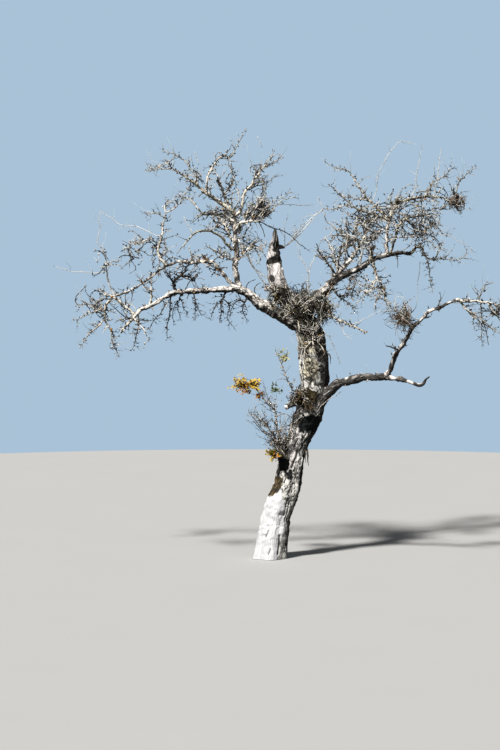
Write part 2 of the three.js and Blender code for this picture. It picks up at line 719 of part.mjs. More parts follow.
// Stems and arms of the masses
const frames = {};
Object.entries(MASSES).forEach(([name, { on, at, radii, stem, arms }], index) => {
  const seed = MASS_SEED * (index + 1);
  const stemRoute = new Route(routes[on].pointAt(at), stem, seed);
  routes[name] = stemRoute;
  const lines = [{ route: stemRoute, radii, until: 1 }];
  let solid = tube(stemRoute, radii, STEM_SIDES);
  capsules.push(...capsulesOf(name, stemRoute, radii));
  arms.forEach(([share, rootRadius, tipRadius, walk], k) => {
    const route = new Route(stemRoute.pointAt(share), walk, seed + k + 1);
    const armRadii = [Math.max(rootRadius, THINNEST_ARM), Math.max(tipRadius, THINNEST_ARM)];
    const until = clearShare(name, route, armRadii);
    if (until < SHORTEST_ARM) return;
    lines.push({ route, radii: armRadii, until });
    solid = solid.add(tube(route, armRadii, ARM_SIDES, 0, until));
    capsules.push(...capsulesOf(name, route, armRadii, until));
  });
  frames[name] = { solid: cutClear(solid), lines };
  keepClear.push(tube(stemRoute, radii, STEM_SIDES, GAP));
});

// The space of a mass: the box round its stem and arms, with a margin, above the ground
function spaceOf(lines) {
  const space = new THREE.Box3();
  for (const { route, until } of lines) {
    route.points.forEach((point, i) => {
      if (i <= until * (route.points.length - 1)) space.expandByPoint(point);
    });
  }
  space.expandByScalar(SPACE_MARGIN);
  space.min.z = Math.max(space.min.z, LOWEST_TWIG);
  return space;
}

// The twigs along one stem or arm, each a start, a knee and a tip
function twigsAlong({ route, radii, until }, habit, seed) {
  const count = Math.max(1, Math.round(route.length * until / habit.spacing));
  return Array.from({ length: count }, (_, i) => {
    const draw = drawsFrom(seed + TWIG_SEED * i);
    const share = until * (FIRST_TWIG + (1 - FIRST_TWIG) * (i + 0.2 + 0.6 * draw()) / count);
    const start = route.chordPoint(share);
    const along = route.curve.getTangent(share);
    const [level, over] = acrossOf(along);
    const round = THREE.MathUtils.degToRad(GOLDEN_ANGLE * i + 50 * draw());
    const spread = THREE.MathUtils.degToRad(38 + 34 * draw());
    const outward = level.multiplyScalar(Math.cos(round)).addScaledVector(over, Math.sin(round));
    const heading = along.multiplyScalar(Math.cos(spread)).addScaledVector(outward, Math.sin(spread));
    heading.z += habit.lift * (0.4 + 0.6 * draw());
    heading.normalize();
    const reach = habit.length * (0.45 + 0.9 * draw()) * (1 - 0.4 * share);
    const knee = start.clone().addScaledVector(heading, 0.5 * reach);
    heading.x += 0.7 * (draw() - 0.5);
    heading.y += 0.7 * (draw() - 0.5);
    heading.z += 0.7 * (draw() - 0.5) + 0.5 * habit.lift;
    const tip = knee.clone().addScaledVector(heading.normalize(), 0.5 * reach);
    const points = habit.joints > 1 ? [start, knee, tip] : [start, tip];
    return { points, radius: Math.min(habit.radius, TWIG_SHARE * sizeAlong(radii, share)) };
  });
}

function twigSolid({ points, radius }) {
  const curve = new THREE.CatmullRomCurve3(points, false, 'centripetal');
  const radiusAt = (parameter) => radius * (1 - 0.45 * parameter);
  return solidOf(bentGeometry(curve, ARM_SIDES, evenShares(points.length - 1), radiusAt, true));
}

// Twigs of each mass: one that would leave the space or touch a limb or another mass is skipped
Object.keys(MASSES).forEach((name, index) => {
  const { solid, lines } = frames[name];
  const habit = HABITS[MASSES[name].habit];
  const space = spaceOf(lines);
  const twigs = [solid];
  lines.forEach((line, k) => {
    for (const twig of twigsAlong(line, habit, MASS_SEED * (index + 1) + LINE_SEED * k)) {
      const own = twig.points.slice(1).map((end, i) => (
        { owner: name, line: new THREE.Line3(twig.points[i], end), radius: twig.radius }
      ));
      if (!twig.points.every((point) => space.containsPoint(point)) || touchesOthers(name, own)) continue;
      capsules.push(...own);
      twigs.push(twigSolid(twig));
    }
  });
  solids[name] = largestBody(wasm.Manifold.union(twigs));
});

// The tree
function meshOf(name, solid, material) {
  const { numProp, vertProperties, triVerts } = solid.getMesh();
  const corners = Array.from({ length: vertProperties.length / numProp }, (_, i) => (
    Array.from(vertProperties.subarray(i * numProp, i * numProp + 3))
  ));
  const geometry = new THREE.BufferGeometry();
  geometry.setAttribute('position', new THREE.Float32BufferAttribute(corners.flat(), 3));
  geometry.setIndex(Array.from(triVerts));
  const mesh = new THREE.Mesh(geometry, material);
  mesh.name = name;
  return mesh;
}

const tree = new THREE.Group();
for (const [name, solid] of Object.entries(solids)) {
  const material = name === 'trunk' ? BARK : LIMBS[name] ? BOUGH_BARK : TWIG_BARK;
  tree.add(meshOf(name, solid, material));
}

export default tree;
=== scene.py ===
"""Dead orchard tree: its bark, the twigs that grow on from its limbs, a soft studio and a camera.

Sizes in the tables are millimetres and degrees, as in the part's source; the meshes are in metres.
A bearing is 0 towards +X and 90 towards +Y, and a rise is 90 straight up. A walk is a list of steps
[length, bearing, rise]. A place is (x, y, z), or (x, z) where it lies as far back as what it is on.
"""
import math
from functools import lru_cache

import bmesh
import bpy
import numpy as np
from bpy.props import FloatProperty, FloatVectorProperty, IntProperty, PointerProperty
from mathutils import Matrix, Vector, noise


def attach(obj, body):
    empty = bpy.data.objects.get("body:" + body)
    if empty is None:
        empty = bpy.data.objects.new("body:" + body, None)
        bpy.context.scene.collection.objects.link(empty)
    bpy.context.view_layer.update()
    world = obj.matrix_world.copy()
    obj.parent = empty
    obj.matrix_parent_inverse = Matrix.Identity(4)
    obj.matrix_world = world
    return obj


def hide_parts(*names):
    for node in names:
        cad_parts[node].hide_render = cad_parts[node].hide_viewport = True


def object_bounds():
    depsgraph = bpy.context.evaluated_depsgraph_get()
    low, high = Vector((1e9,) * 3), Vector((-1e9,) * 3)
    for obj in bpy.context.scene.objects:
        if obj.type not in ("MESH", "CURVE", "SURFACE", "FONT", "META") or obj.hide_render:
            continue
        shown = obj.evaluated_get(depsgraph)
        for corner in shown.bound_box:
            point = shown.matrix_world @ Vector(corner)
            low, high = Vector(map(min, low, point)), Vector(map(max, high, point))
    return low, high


bl_info = {
    "name": "Dead orchard tree",
    "version": (1, 0, 0),
    "blender": (4, 5, 0),
    "location": "3D View > Sidebar > Tree",
    "description": "Bark, twigs and late leaves of a dead orchard tree, grown round its packed solids",
    "category": "Object",
}

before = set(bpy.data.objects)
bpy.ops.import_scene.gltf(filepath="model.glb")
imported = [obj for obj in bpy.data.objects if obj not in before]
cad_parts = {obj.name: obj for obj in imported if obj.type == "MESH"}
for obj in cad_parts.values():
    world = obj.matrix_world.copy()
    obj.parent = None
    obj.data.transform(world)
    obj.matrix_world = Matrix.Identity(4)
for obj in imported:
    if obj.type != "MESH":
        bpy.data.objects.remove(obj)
CAD_LOW, CAD_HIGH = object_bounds()

MM = 0.001

# The growth rule's sizes, as in the part's source
TRUNK_FOOT_RADIUS = 232
FLARE_HEIGHT = 260
FLARE_LOBES = 5
FLARE_DEPTH = 0.16
RIBS = 8
RIB_SHARE = 0.07
RIB_START = 400
PIECE = 210
CROOK = 0.09
FIRST_TWIG = 0.12
GOLDEN_ANGLE = 137.5
LIMB_SEED = 20
MASS_SEED = 10007
LINE_SEED = 1009
TWIG_SEED = 97
THINNEST_ARM = 5
THINNEST_TIP = 3
TWIG_SPREAD = 38
KNEE_CROOK = 0.7
TWIG_LIMIT = 0.62
MASK = 0xFFFFFFFF

# How far twigs may pass the box of the solids, and how low they may reach, in metres
REACH_MARGIN = 0.012
LOWEST_TWIG = 0.06

# First seeds of what the scene adds to the rule's own twigs, and how far apart their seeds lie
SEEDS = {
    "splinters": 811, "limb twigs": 900, "sheaves": 3001, "sheaf twigs": 3200, "weaves": 6001,
    "weave twigs": 14200, "lone knobs": 9001, "leafy twigs": 60, "leaves": 4001, "tangles": 7001,
    "twig colours": 8001, "tangle colours": 8101,
}
LIMB_SEEDS_APART = 11
TUFT_SEEDS_APART = 900

TRUNK_WALK = [
    [590, 0, 81, 222], [580, 0, 72, 204], [510, 0, 77, 152], [450, 0, 70, 203],
    [420, 0, 76, 195], [430, 0, 88, 224], [390, 180, 82, 196], [300, 180, 70, 176],
    [340, 180, 54, 154], [280, 180, 56, 130], [260, 180, 76, 120], [230, 180, 85, 104],
    [180, 0, 87, 64], [200, 0, 90, 13],
]

# Swellings of the trunk: [height, bearing, how far it stands out, half its width]
TRUNK_KNOTS = [
    [1460, 195, 62, 105], [1480, 285, 30, 90], [2080, 250, 34, 150], [2140, 20, 30, 140], [2700, 0, 34, 60],
    [2930, 280, 26, 190], [3350, 320, 40, 160],
]

# Hollows in the trunk: [height, bearing, depth, half height, half width in degrees]
TRUNK_HOLLOWS = [
    [2035, 285, 60, 130, 54], [1400, 246, 42, 120, 28], [1330, 276, 30, 75, 22], [1030, 214, 20, 170, 22],
    [4450, 262, 18, 60, 70],
]

# Spikes on the broken spar: [share of the trunk's walk, root radius, tip radius, walk]
SPAR_SPIKES = [
    [0.885, 46, 6, [[110, 350, 22], [75, 355, -12]]],
    [0.7, 48, 32, [[140, 200, 10], [125, 190, -5]]],
]

# Limbs: [what it grows on, share of that one's walk, radii at even shares, walk]
LIMBS = {
    "left_bough": ["trunk", 0.56, [125, 86, 50], [[480, 188, 21], [700, 197, 32], [100, 198, 5]]],
    "left_bough_outer": ["left_bough", 0.67, [44, 41, 27], [[950, 197, -3], [600, 199, -26]]],
    "left_riser": ["left_bough", 0.64, [46, 37, 26], [[320, 174, 79], [810, 90, 84]]],
    "second_bough": ["left_bough", 0.66, [34, 21, 15],
        [[540, 149, 43], [560, 159, 1], [220, 161, -15], [730, 163, -32], [260, 168, -23]]],
    "right_bough": ["trunk", 0.58, [110, 54, 26],
        [[350, 31, 53], [480, 29, 38], [900, 28, 22], [230, 25, 11], [230, 23, -3]]],
    "right_riser": ["right_bough", 0.66, [32, 26, 24], [[300, 117, 87], [270, 8, 79]]],
    "low_bough": ["trunk", 0.31, [120, 62, 42],
        [[440, 345, 47], [200, 330, 35], [430, 336, 15], [380, 337, 4]]],
    "low_riser": ["low_bough", 0.99, [40, 29, 20],
        [[330, 319, 63], [540, 331, 58], [350, 340, 41], [410, 341, 25]]],
    "low_stub": ["low_bough", 0.98, [36, 33, 27, 10], [[300, 338, -9], [240, 342, -15], [190, 340, 44]]],
    "snag": ["trunk", 0.35, [62, 50, 42], [[260, 205, -14], [230, 217, -19]]],
    "back_bough": ["trunk", 0.58, [95, 52, 26], [[440, 60, 31], [1490, 59, 29]]],
}

# How the rule's twigs grow: spacing, length, radius, and how far they turn up
HABITS = {
    "open": dict(spacing=230, length=250, radius=6, lift=0.25),
    "upright": dict(spacing=230, length=270, radius=5.5, lift=0.7),
    "hanging": dict(spacing=180, length=190, radius=5, lift=-0.6),
    "dense": dict(spacing=130, length=220, radius=5.5, lift=0.1),
}

# Masses of twigs: what the stem grows on, share of that one's walk, habit, radii, walk, and then the arms,
# each as [share of the stem's walk, root radius, tip radius, walk]
MASSES = {
    "left_end": ["left_bough_outer", 1, "open", [24, 7], [[450, 205, -45]],
        [0.22, 15, 6, [[230, 170, 45], [420, 180, 30]]], [0.11, 10, 4, [[170, 85, -50], [450, 155, -75]]],
        [0.3, 9, 4, [[320, 310, -35], [160, 325, -65]]]],
    "left_hook": ["second_bough", 1, "open", [18, 7], [[170, 170, -55], [170, 150, -80], [340, 5, -60]],
        [0.46, 10, 4, [[320, 155, 20], [220, 160, -10]]], [0.68, 9, 4, [[360, 210, -40], [250, 210, -55]]],
        [0.89, 8, 4, [[420, 40, -70]]], [0.62, 8, 3, [[180, 225, 25], [440, 210, -20]]]],
    "left_far_riser": ["second_bough", 0.97, "upright", [13, 3],
        [[210, 190, 65], [410, 240, 80], [270, 205, 60], [460, 310, 80]],
        [0.37, 6, 3, [[450, 185, 0], [350, 185, 15]]], [0.45, 7, 4, [[280, 35, 5]]]],
    "mid_left_riser": ["second_bough", 0.6, "open", [17, 6], [[160, 170, 50], [140, 125, 75], [560, 40, 75]],
        [0.72, 8, 4, [[180, 205, 15], [340, 205, -15]]],
        [0.77, 6, 3, [[470, 150, 20], [280, 160, 5], [370, 165, 35]]],
        [0.95, 7, 3, [[170, 210, 25], [180, 195, -20]]], [0.99, 7, 3, [[110, 105, 65], [370, 20, 40]]],
        [0.99, 8, 4, [[210, 335, 30], [350, 335, 55]]]],
    "left_dark_tuft": ["left_bough_outer", 0.49, "dense", [17, 6], [[130, 195, 70], [440, 335, 50]],
        [0.5, 10, 4, [[280, 235, 50]]], [0.68, 9, 4, [[160, 25, -5], [130, 40, -35]]]],
    "left_short_tuft": ["left_bough_outer", 0.87, "open", [13, 5], [[470, 70, 80]],
        [0.42, 8, 4, [[290, 210, 45]]]],
    "hanging_far": ["left_bough_outer", 0.57, "hanging", [9, 3], [[680, 225, -85]],
        [0.09, 6, 3, [[430, 220, -45], [180, 210, -60]]]],
    "hanging_mid": ["left_bough_outer", 0.44, "hanging", [8, 3], [[210, 130, -65], [270, 35, -75]],
        [0.24, 6, 3, [[290, 35, -60]]], [0.34, 5, 3, [[180, 145, -60], [230, 105, -80]]]],
    "hanging_near": ["left_bough_outer", 0.35, "hanging", [8, 3], [[470, 290, -80]],
        [0.32, 5, 3, [[280, 310, -55]]]],
    "hanging_inner": ["left_bough_outer", 0.08, "hanging", [10, 4], [[190, 220, -60], [330, 230, -80]],
        [0.37, 7, 3, [[190, 35, -45], [200, 135, -70], [220, 10, -50]]],
        [0.52, 6, 3, [[180, 215, -35], [170, 220, -70]]]],
    "hanging_root": ["left_bough", 0.56, "hanging", [10, 3], [[280, 235, -50], [210, 340, -60]],
        [0.28, 7, 3, [[150, 225, 15], [130, 215, -40], [160, 225, -75]]]],
    "arched_branch": ["left_riser", 0.65, "open", [17, 7],
        [[380, 210, 40], [300, 215, 15], [160, 205, -20], [410, 215, -45]]],
    "crown_left": ["left_riser", 1, "open", [25, 6], [[1160, 195, 35], [140, 225, 50]],
        [0.5, 6, 3, [[440, 200, -5]]], [0.88, 5, 3, [[370, 165, -20]]],
        [0.32, 9, 3, [[130, 355, 85], [330, 170, 50], [340, 190, 20]]],
        [0.24, 13, 3, [[310, 40, 75], [180, 20, 55], [160, 10, 40], [100, 10, -15], [490, 10, 60]]]],
    "crown_under": ["left_riser", 0.93, "open", [14, 5],
        [[240, 150, 25], [320, 155, 0], [310, 145, 45], [140, 155, 10]],
        [0.5, 7, 3, [[310, 135, -30]]]],
    "crown_middle": ["left_riser", 0.96, "upright", [13, 4], [[430, 130, 55], [430, 155, 65]],
        [0.5, 10, 3, [[300, 35, 55], [250, 145, 75]]]],
    "crown_right": ["left_riser", 0.98, "open", [20, 4], [[130, 350, 45], [220, 350, 80], [780, 10, 55]],
        [0.78, 7, 3, [[270, 285, 60]]], [0.87, 6, 3, [[390, 25, 25]]],
        [0.7, 8, 3, [[390, 35, 15], [190, 25, 50]]]],
    "broom_top": ["left_riser", 0.84, "dense", [22, 9], [[200, 320, 40], [330, 345, 5]],
        [0.55, 10, 4, [[320, 300, 55]]], [0.69, 10, 4, [[490, 25, 60], [180, 155, 75]]],
        [0.83, 8, 4, [[330, 325, 50]]], [0.87, 7, 3, [[440, 0, 40], [260, 5, 20]]],
        [0.91, 6, 3, [[290, 35, 55], [370, 15, 30]]], [0.83, 7, 3, [[470, 15, -20], [490, 10, -40]]]],
    "crown_back": ["left_riser", 0.68, "open", [17, 5], [[690, 105, 25], [670, 110, 25]],
        [0.46, 9, 3, [[530, 65, 35]]], [0.62, 8, 3, [[460, 130, -15]]]],
    "riser_left_twigs": ["left_riser", 0.57, "open", [9, 4], [[190, 220, 15], [410, 210, 25]]],
    "riser_right_twigs": ["left_riser", 0.54, "open", [9, 4], [[200, 315, 40], [380, 330, 45]],
        [0.66, 6, 3, [[140, 340, 5], [160, 345, -30]]]],
    "fork_shoot_left": ["trunk", 0.71, "open", [10, 4], [[500, 160, 35], [470, 155, 60]]],
    "thicket_left": ["trunk", 0.65, "dense", [14, 6], [[410, 235, 15]],
        [0.48, 8, 4, [[330, 220, -30]]], [0.57, 8, 4, [[290, 270, 50]]],
        [0.6, 8, 4, [[200, 185, 45], [130, 195, 25]]]],
    "thicket_front": ["trunk", 0.59, "dense", [15, 6], [[490, 262, 25]],
        [0.5, 8, 4, [[360, 320, 35]]], [0.62, 8, 4, [[180, 220, -15], [150, 205, -35]]],
        [0.56, 8, 4, [[390, 265, -65]]]],
    "thicket_right": ["right_bough", 0.22, "dense", [14, 6], [[220, 295, -25], [160, 305, 10]],
        [0.37, 8, 4, [[180, 340, -25], [110, 345, 20]]], [0.5, 8, 4, [[180, 260, -35], [160, 295, -70]]],
        [0.69, 7, 4, [[330, 310, 55]]]],
    "thicket_low": ["trunk", 0.53, "dense", [13, 5], [[250, 285, -10], [150, 275, -25], [170, 265, -60]],
        [0.53, 7, 4, [[170, 335, -35], [160, 340, -70]]], [0.62, 7, 4, [[180, 205, -45], [160, 220, -80]]]],
    "thicket_back": ["trunk", 0.6, "dense", [14, 6], [[520, 100, 30]],
        [0.55, 8, 4, [[380, 40, 35]]], [0.66, 8, 4, [[340, 135, -35]]],
        [0.5, 8, 4, [[300, 55, -45], [180, 85, -75]]]],
    "fork_shoot_right": ["right_bough", 0.15, "upright", [9, 3], [[460, 245, 80], [540, 195, 70]],
        [0.46, 6, 3, [[370, 45, 60]]]],
    "broken_low_shoot": ["trunk", 0.56, "open", [16, 9],
        [[220, 345, 15], [260, 310, 15], [280, 310, -15], [490, 320, -15]],
        [0.64, 5, 2, [[420, 320, -45]]], [0.84, 5, 2, [[570, 330, 25]]]],
    "bough_shoot_near": ["right_bough", 0.38, "open", [10, 4], [[200, 250, 65], [380, 220, 50]],
        [0.67, 6, 3, [[260, 155, 35]]]],
    "bough_shoot_mid": ["right_bough", 0.41, "upright", [10, 4], [[200, 120, 85], [350, 10, 75]],
        [0.66, 6, 3, [[280, 35, 40]]]],
    "bough_shoot_far": ["right_bough", 0.44, "upright", [9, 4], [[220, 260, 70], [430, 285, 75]]],
    "right_pale_arm": ["right_bough", 0.5, "open", [20, 4],
        [[330, 300, 80], [160, 210, 55], [390, 200, 25], [160, 200, 35], [400, 210, 65]],
        [0.59, 6, 3, [[340, 150, -40], [130, 135, -65]]], [0.9, 6, 3, [[670, 205, -40]]]],
    "right_stump": ["right_bough", 0.55, "open", [27, 22], [[200, 260, 75]],
        [0.68, 8, 3, [[170, 225, 45], [230, 330, 30]]]],
    "right_left_arm": ["right_riser", 0.9, "open", [18, 5], [[740, 200, 20], [320, 195, -15]],
        [0.23, 8, 3, [[330, 210, -30]]], [0.45, 7, 3, [[500, 205, 40]]]],
    "right_upper_arm": ["right_riser", 0.96, "open", [15, 3],
        [[570, 155, 40], [420, 150, 55], [410, 175, 20]],
        [0.25, 9, 3, [[490, 155, 10]]],
        [0.22, 5, 2, [[490, 320, 75], [310, 345, 60], [250, 355, 45], [230, 355, -5]]]],
    "right_top_arm": ["right_riser", 1, "dense", [22, 9],
        [[250, 35, 58], [150, 15, 20], [340, 15, 10], [410, 15, -10]],
        [0.58, 7, 3, [[790, 330, 80]]], [0.73, 9, 3, [[210, 45, 50], [510, 25, 35]]],
        [0.81, 6, 3, [[750, 25, 80]]], [0.99, 8, 3, [[360, 325, 65], [320, 350, 40]]],
        [0.97, 9, 4, [[300, 25, -40]]], [0.98, 8, 4, [[190, 30, 10], [140, 30, -50]]]],
    "right_ring": ["right_bough", 0.7, "open", [15, 5],
        [[500, 300, 60], [130, 345, 55], [350, 340, 10], [140, 345, -20], [160, 330, -75]],
        [0.12, 9, 3, [[400, 335, 5], [470, 340, -30]]],
        [0.4, 8, 3, [[200, 30, -35], [200, 20, 15], [210, 15, -20], [210, 20, -45]]]],
    "right_end": ["right_bough", 1, "open", [19, 4],
        [[130, 25, 45], [90, 20, 0], [170, 25, -55], [120, 15, -25], [330, 20, 55]],
        [0.6, 8, 3, [[560, 310, -75]]], [0.8, 7, 3, [[430, 20, 0], [260, 20, 35]]]],
    "right_droop": ["right_bough", 0.56, "hanging", [15, 5], [[240, 280, -50], [660, 300, -50]],
        [0.57, 8, 3, [[640, 215, -45]]], [0.77, 7, 3, [[220, 230, -35], [180, 250, -60]]]],
    "low_tip": ["low_riser", 1, "dense", [18, 4], [[530, 350, -5], [440, 0, -20]],
        [0.06, 13, 4, [[370, 25, -45], [400, 15, -30]]], [0.35, 8, 3, [[740, 80, -65]]],
        [0.5, 8, 3, [[240, 75, -50], [320, 285, 25], [200, 300, 50]]], [0.31, 7, 3, [[360, 315, 50]]],
        [0.64, 7, 3, [[410, 30, -65]]]],
    "low_broom": ["low_riser", 0.5, "dense", [15, 6], [[270, 230, 30]],
        [0.37, 8, 4, [[270, 190, 15]]], [0.5, 8, 4, [[290, 220, 75]]], [0.69, 7, 4, [[290, 205, 40]]]],
    "low_snag": ["low_riser", 0.32, "open", [10, 6], [[270, 215, 10]]],
    "trunk_sprout": ["trunk", 0.19, "dense", [30, 8], [[260, 235, 25], [140, 235, 65]],
        [0.89, 9, 3, [[420, 205, 55], [390, 195, 40]]],
        [0.93, 9, 3, [[550, 170, 80], [540, 185, 50], [210, 185, -10]]], [0.77, 8, 3, [[620, 325, 70]]],
        [0.68, 7, 3, [[350, 210, 35]]]],
    "trunk_sprig": ["trunk", 0.36, "upright", [9, 3], [[300, 215, 5], [270, 225, 45], [510, 205, 65]]],
    "back_crown": ["back_bough", 1, "open", [22, 5], [[470, 55, 45], [240, 50, 70]],
        [0.08, 10, 4, [[410, 145, 35]]], [0.26, 10, 4, [[600, 20, 30]]]],
    "back_shoot": ["back_bough", 0.79, "open", [14, 4], [[480, 110, 50], [220, 135, 50]],
        [0.31, 8, 3, [[220, 40, 30], [210, 40, 55]]]],
    "back_droop": ["back_bough", 0.67, "hanging", [13, 4], [[520, 50, -30], [220, 30, -55]],
        [0.3, 7, 3, [[410, 45, 0]]]],
    "spar_shoots": ["trunk", 0.91, "upright", [12, 3], [[170, 10, 0], [230, 25, 35], [540, 25, 45]],
        [0.33, 4, 2, [[250, 260, 70], [290, 315, 75]]]],
}

# Broken limbs without bark
BARE_LIMBS = ("low_stub", "spike_left")

# Splinters at the broken top: [share of the trunk's walk, bearing, length, radius]
SPLINTERS = [
    [0.95, 300, 140, 12], [0.95, 100, 150, 12], [0.96, 230, 110, 9], [0.90, 280, 120, 11],
    [0.89, 180, 100, 10], [0.90, 350, 100, 10], [0.86, 60, 110, 11], [0.87, 230, 110, 11],
]

# Loose strips of bark that hang from the trunk: [height, bearing, width, walk]
LOOSE_BARK = [
    [1665, 345, 14, [[14, 345, -20], [150, 340, -86], [110, 20, -84]]],
    [1640, 332, 9, [[10, 340, -30], [130, 330, -84], [60, 300, -80]]],
    [2600, 190, 10, [[40, 190, -20], [160, 200, -80]]],
    [3080, 340, 10, [[50, 340, -20], [150, 0, -80]]],
    [2250, 60, 12, [[50, 60, -20], [220, 70, -84]]],
    [1500, 130, 11, [[50, 130, -20], [190, 130, -84]]],
]

# Which side of the crown each mass belongs to
REGIONS = {
    "left": ("left_end", "left_hook", "left_far_riser", "mid_left_riser", "left_dark_tuft",
        "left_short_tuft", "hanging_far", "hanging_mid", "hanging_near", "hanging_inner", "hanging_root"),
    "middle": ("arched_branch", "crown_left", "crown_under", "crown_middle", "crown_right", "broom_top",
        "crown_back", "riser_left_twigs", "riser_right_twigs"),
    "fork": ("fork_shoot_left", "thicket_left", "thicket_front", "thicket_right", "thicket_low",
        "thicket_back", "fork_shoot_right", "broken_low_shoot", "spar_shoots"),
    "right": ("bough_shoot_near", "bough_shoot_mid", "bough_shoot_far", "right_pale_arm", "right_stump",
        "right_left_arm", "right_upper_arm", "right_top_arm", "right_ring", "right_end", "right_droop"),
    "low": ("low_tip", "low_broom", "low_snag", "trunk_sprout", "trunk_sprig"),
    "back": ("back_crown", "back_shoot", "back_droop"),
}

# Which limbs carry finer twigs of their own, from which share on, and in which region these are counted
TWIGGY_LIMBS = {
    "left_bough_outer": (0.1, "left"), "second_bough": (0.25, "left"), "left_riser": (0.45, "middle"),
    "left_bough": (0.4, "fork"), "right_bough": (0.2, "right"), "right_riser": (0.1, "right"),
    "low_bough": (0.3, "low"), "low_riser": (0.1, "low"), "back_bough": (0.25, "back"),
}

# Finer habits: spacing along what they grow on, length, radius and lift, and how far they spread from it in
# degrees, how crooked their knee is, and how thick they may be against it
MEDIUM = dict(spacing=190, length=310, radius=9.5, lift=0.2, spread=44, crook=1.5, limit=0.75)
FILL = dict(spacing=92, length=175, radius=7.5, lift=0.15, spread=48, crook=1.3, limit=0.7)
FINEST = dict(spacing=95, length=84, radius=5.0, lift=0.15, spread=46, crook=1.2, limit=0.9)
SPUR = dict(spacing=42, length=54, radius=9.0, lift=0.3, spread=46, crook=1.2, limit=1.0)
SMALL_SPUR = dict(spacing=85, length=36, radius=7.5, lift=0.2, spread=50, crook=1.0, limit=2.2)
BUD = dict(spacing=80, length=24, radius=6.0, lift=0.2, spread=60, crook=0.6, limit=1.6)
SHOOT = dict(spacing=900, length=430, radius=3.6, lift=0.9)

# What grows on a line of each style: the colours of its twigs, the habits added to its own, and its knobs
STYLES = {
    "full": ("twigs", (MEDIUM, FILL), SPUR),
    "airy": ("twigs", (FILL,), SPUR),
    "dark": ("dark", (FILL,), SPUR),
    "shoot": ("shoots", (), BUD),
    "bare": ("dark", (), BUD),
    "smooth": ("spurs", (), BUD),
}

# Masses, and single lines of them, that aren't full of twigs
LINE_STYLES = {
    "airy": (
        "broom_top", "riser_left_twigs", "riser_right_twigs", ("broken_low_shoot", 0), "bough_shoot_near",
        "bough_shoot_mid", "bough_shoot_far", "trunk_sprig",
    ),
    "dark": ("hanging_far", "hanging_mid", "hanging_near", "hanging_inner", "hanging_root", "left_dark_tuft"),
    "shoot": (
        "left_far_riser", ("mid_left_riser", 2), "spar_shoots", "fork_shoot_left", "fork_shoot_right",
        "broken_low_shoot", "right_pale_arm", ("right_upper_arm", 2), ("right_top_arm", 1),
        ("right_top_arm", 3),
    ),
    "bare": (("broom_top", 6), "low_snag"),
    "smooth": ("arched_branch",),
}

# How thick spurs and knobs are from the root to the bud at the tip, against their radius
SPUR_SHAPE = (1.0, 0.75, 1.0, 1.8, 0.7)
KNOB_SHAPE = (1.0, 0.8, 1.8, 0.7)

# Tangled balls of twigs: [what they grow on, middle, radius, twigs, length, twig radius, lean, colours]
TANGLES = [
    ["broom_top", (-220, -150, 5230), 165, 56, 330, 5.2, (0.7, 0, 0.3), "broom"],
    ["broom_top", (-130, -160, 5200), 105, 24, 250, 5.6, (0.4, 0, 0.5), "nest"],
    ["broom_top", (-320, -170, 5200), 110, 24, 250, 5.2, (0.4, 0, 0.5), "broom"],
    ["broom_top", (-170, -160, 5320), 150, 14, 430, 5, (1, 0, 0.5), "broom"],
    ["broom_top", (-370, -180, 5150), 55, 18, 220, 7, (2.4, 0, 0.1), "nest"],
    ["broom_top", (-270, -180, 5130), 60, 26, 240, 7.6, (2.4, 0, -0.1), "nest"],
    ["broom_top", (-160, -170, 5135), 60, 24, 240, 7.6, (2.4, 0, 0), "nest"],
    ["broom_top", (-60, -160, 5150), 52, 18, 220, 7, (2.4, 0, 0.1), "nest"],
    ["broom_top", (-270, -190, 5070), 70, 12, 150, 6, (0.2, 0, -0.5), "nest"],
    ["left_riser", (-440, 4980), 150, 30, 210, 6.4, (0.2, 0, 0.4), "broom"],
    ["left_riser", (-330, 4700), 190, 34, 260, 5, (0.5, 0, 0.6), "broom"],
    ["right_top_arm", (2830, 5340), 160, 90, 210, 6, (0.2, 0, -0.2), "red"],
    ["low_broom", (2035, 3600), 210, 150, 250, 5.6, (-0.2, 0, 0.3), "red"],
    ["low_broom", (1880, 3650), 290, 80, 280, 4.4, (-0.5, 0, 0.3), "red"],
    ["thicket_left", (190, -150, 3900), 235, 260, 230, 6.6, (-0.2, 0, 0.2), "thicket"],
    ["thicket_front", (490, -250, 3810), 260, 330, 240, 6.6, (0, 0, 0.1), "thicket"],
    ["thicket_right", (740, -200, 3690), 225, 260, 230, 6.4, (0.3, 0, 0), "thicket"],
    ["thicket_low", (560, -250, 3520), 165, 100, 220, 6.2, (0.1, 0, -0.1), "broom"],
    ["thicket_back", (450, 300, 3850), 260, 240, 240, 6.6, (0, 0.3, 0.2), "thicket"],
    ["trunk_sprig", (495, -185, 2430), 140, 190, 140, 6, (0.2, -0.2, 0.2), "mossy"],
    ["snag", (400, -130, 2410), 130, 150, 150, 6.4, (-0.3, -0.3, 0.3), "mossy"],
    ["trunk_sprig", (590, -205, 2290), 130, 100, 110, 5.2, (0.1, -0.1, 0), "mossy"],
    ["snag", (330, -160, 2330), 70, 40, 90, 5, (-0.3, -0.2, -0.2), "mossy"],
    ["trunk_sprout", (120, -190, 1570), 105, 110, 110, 5.6, (-0.4, -0.2, 0.1), "mossy"],
    ["right_top_arm", (1912, 5310), 70, 40, 70, 9, (0, 0, 0), "orange"],
    ["right_stump", (1545, 4665), 60, 30, 60, 9, (0, 0, 0), "orange"],
    ["low_bough", (1942, 2737), 65, 35, 60, 8, (0, 0, 0.4), "orange"],
    ["second_bough", (-953, 4500), 60, 30, 70, 8, (0, 0, 0.3), "orange"],
]

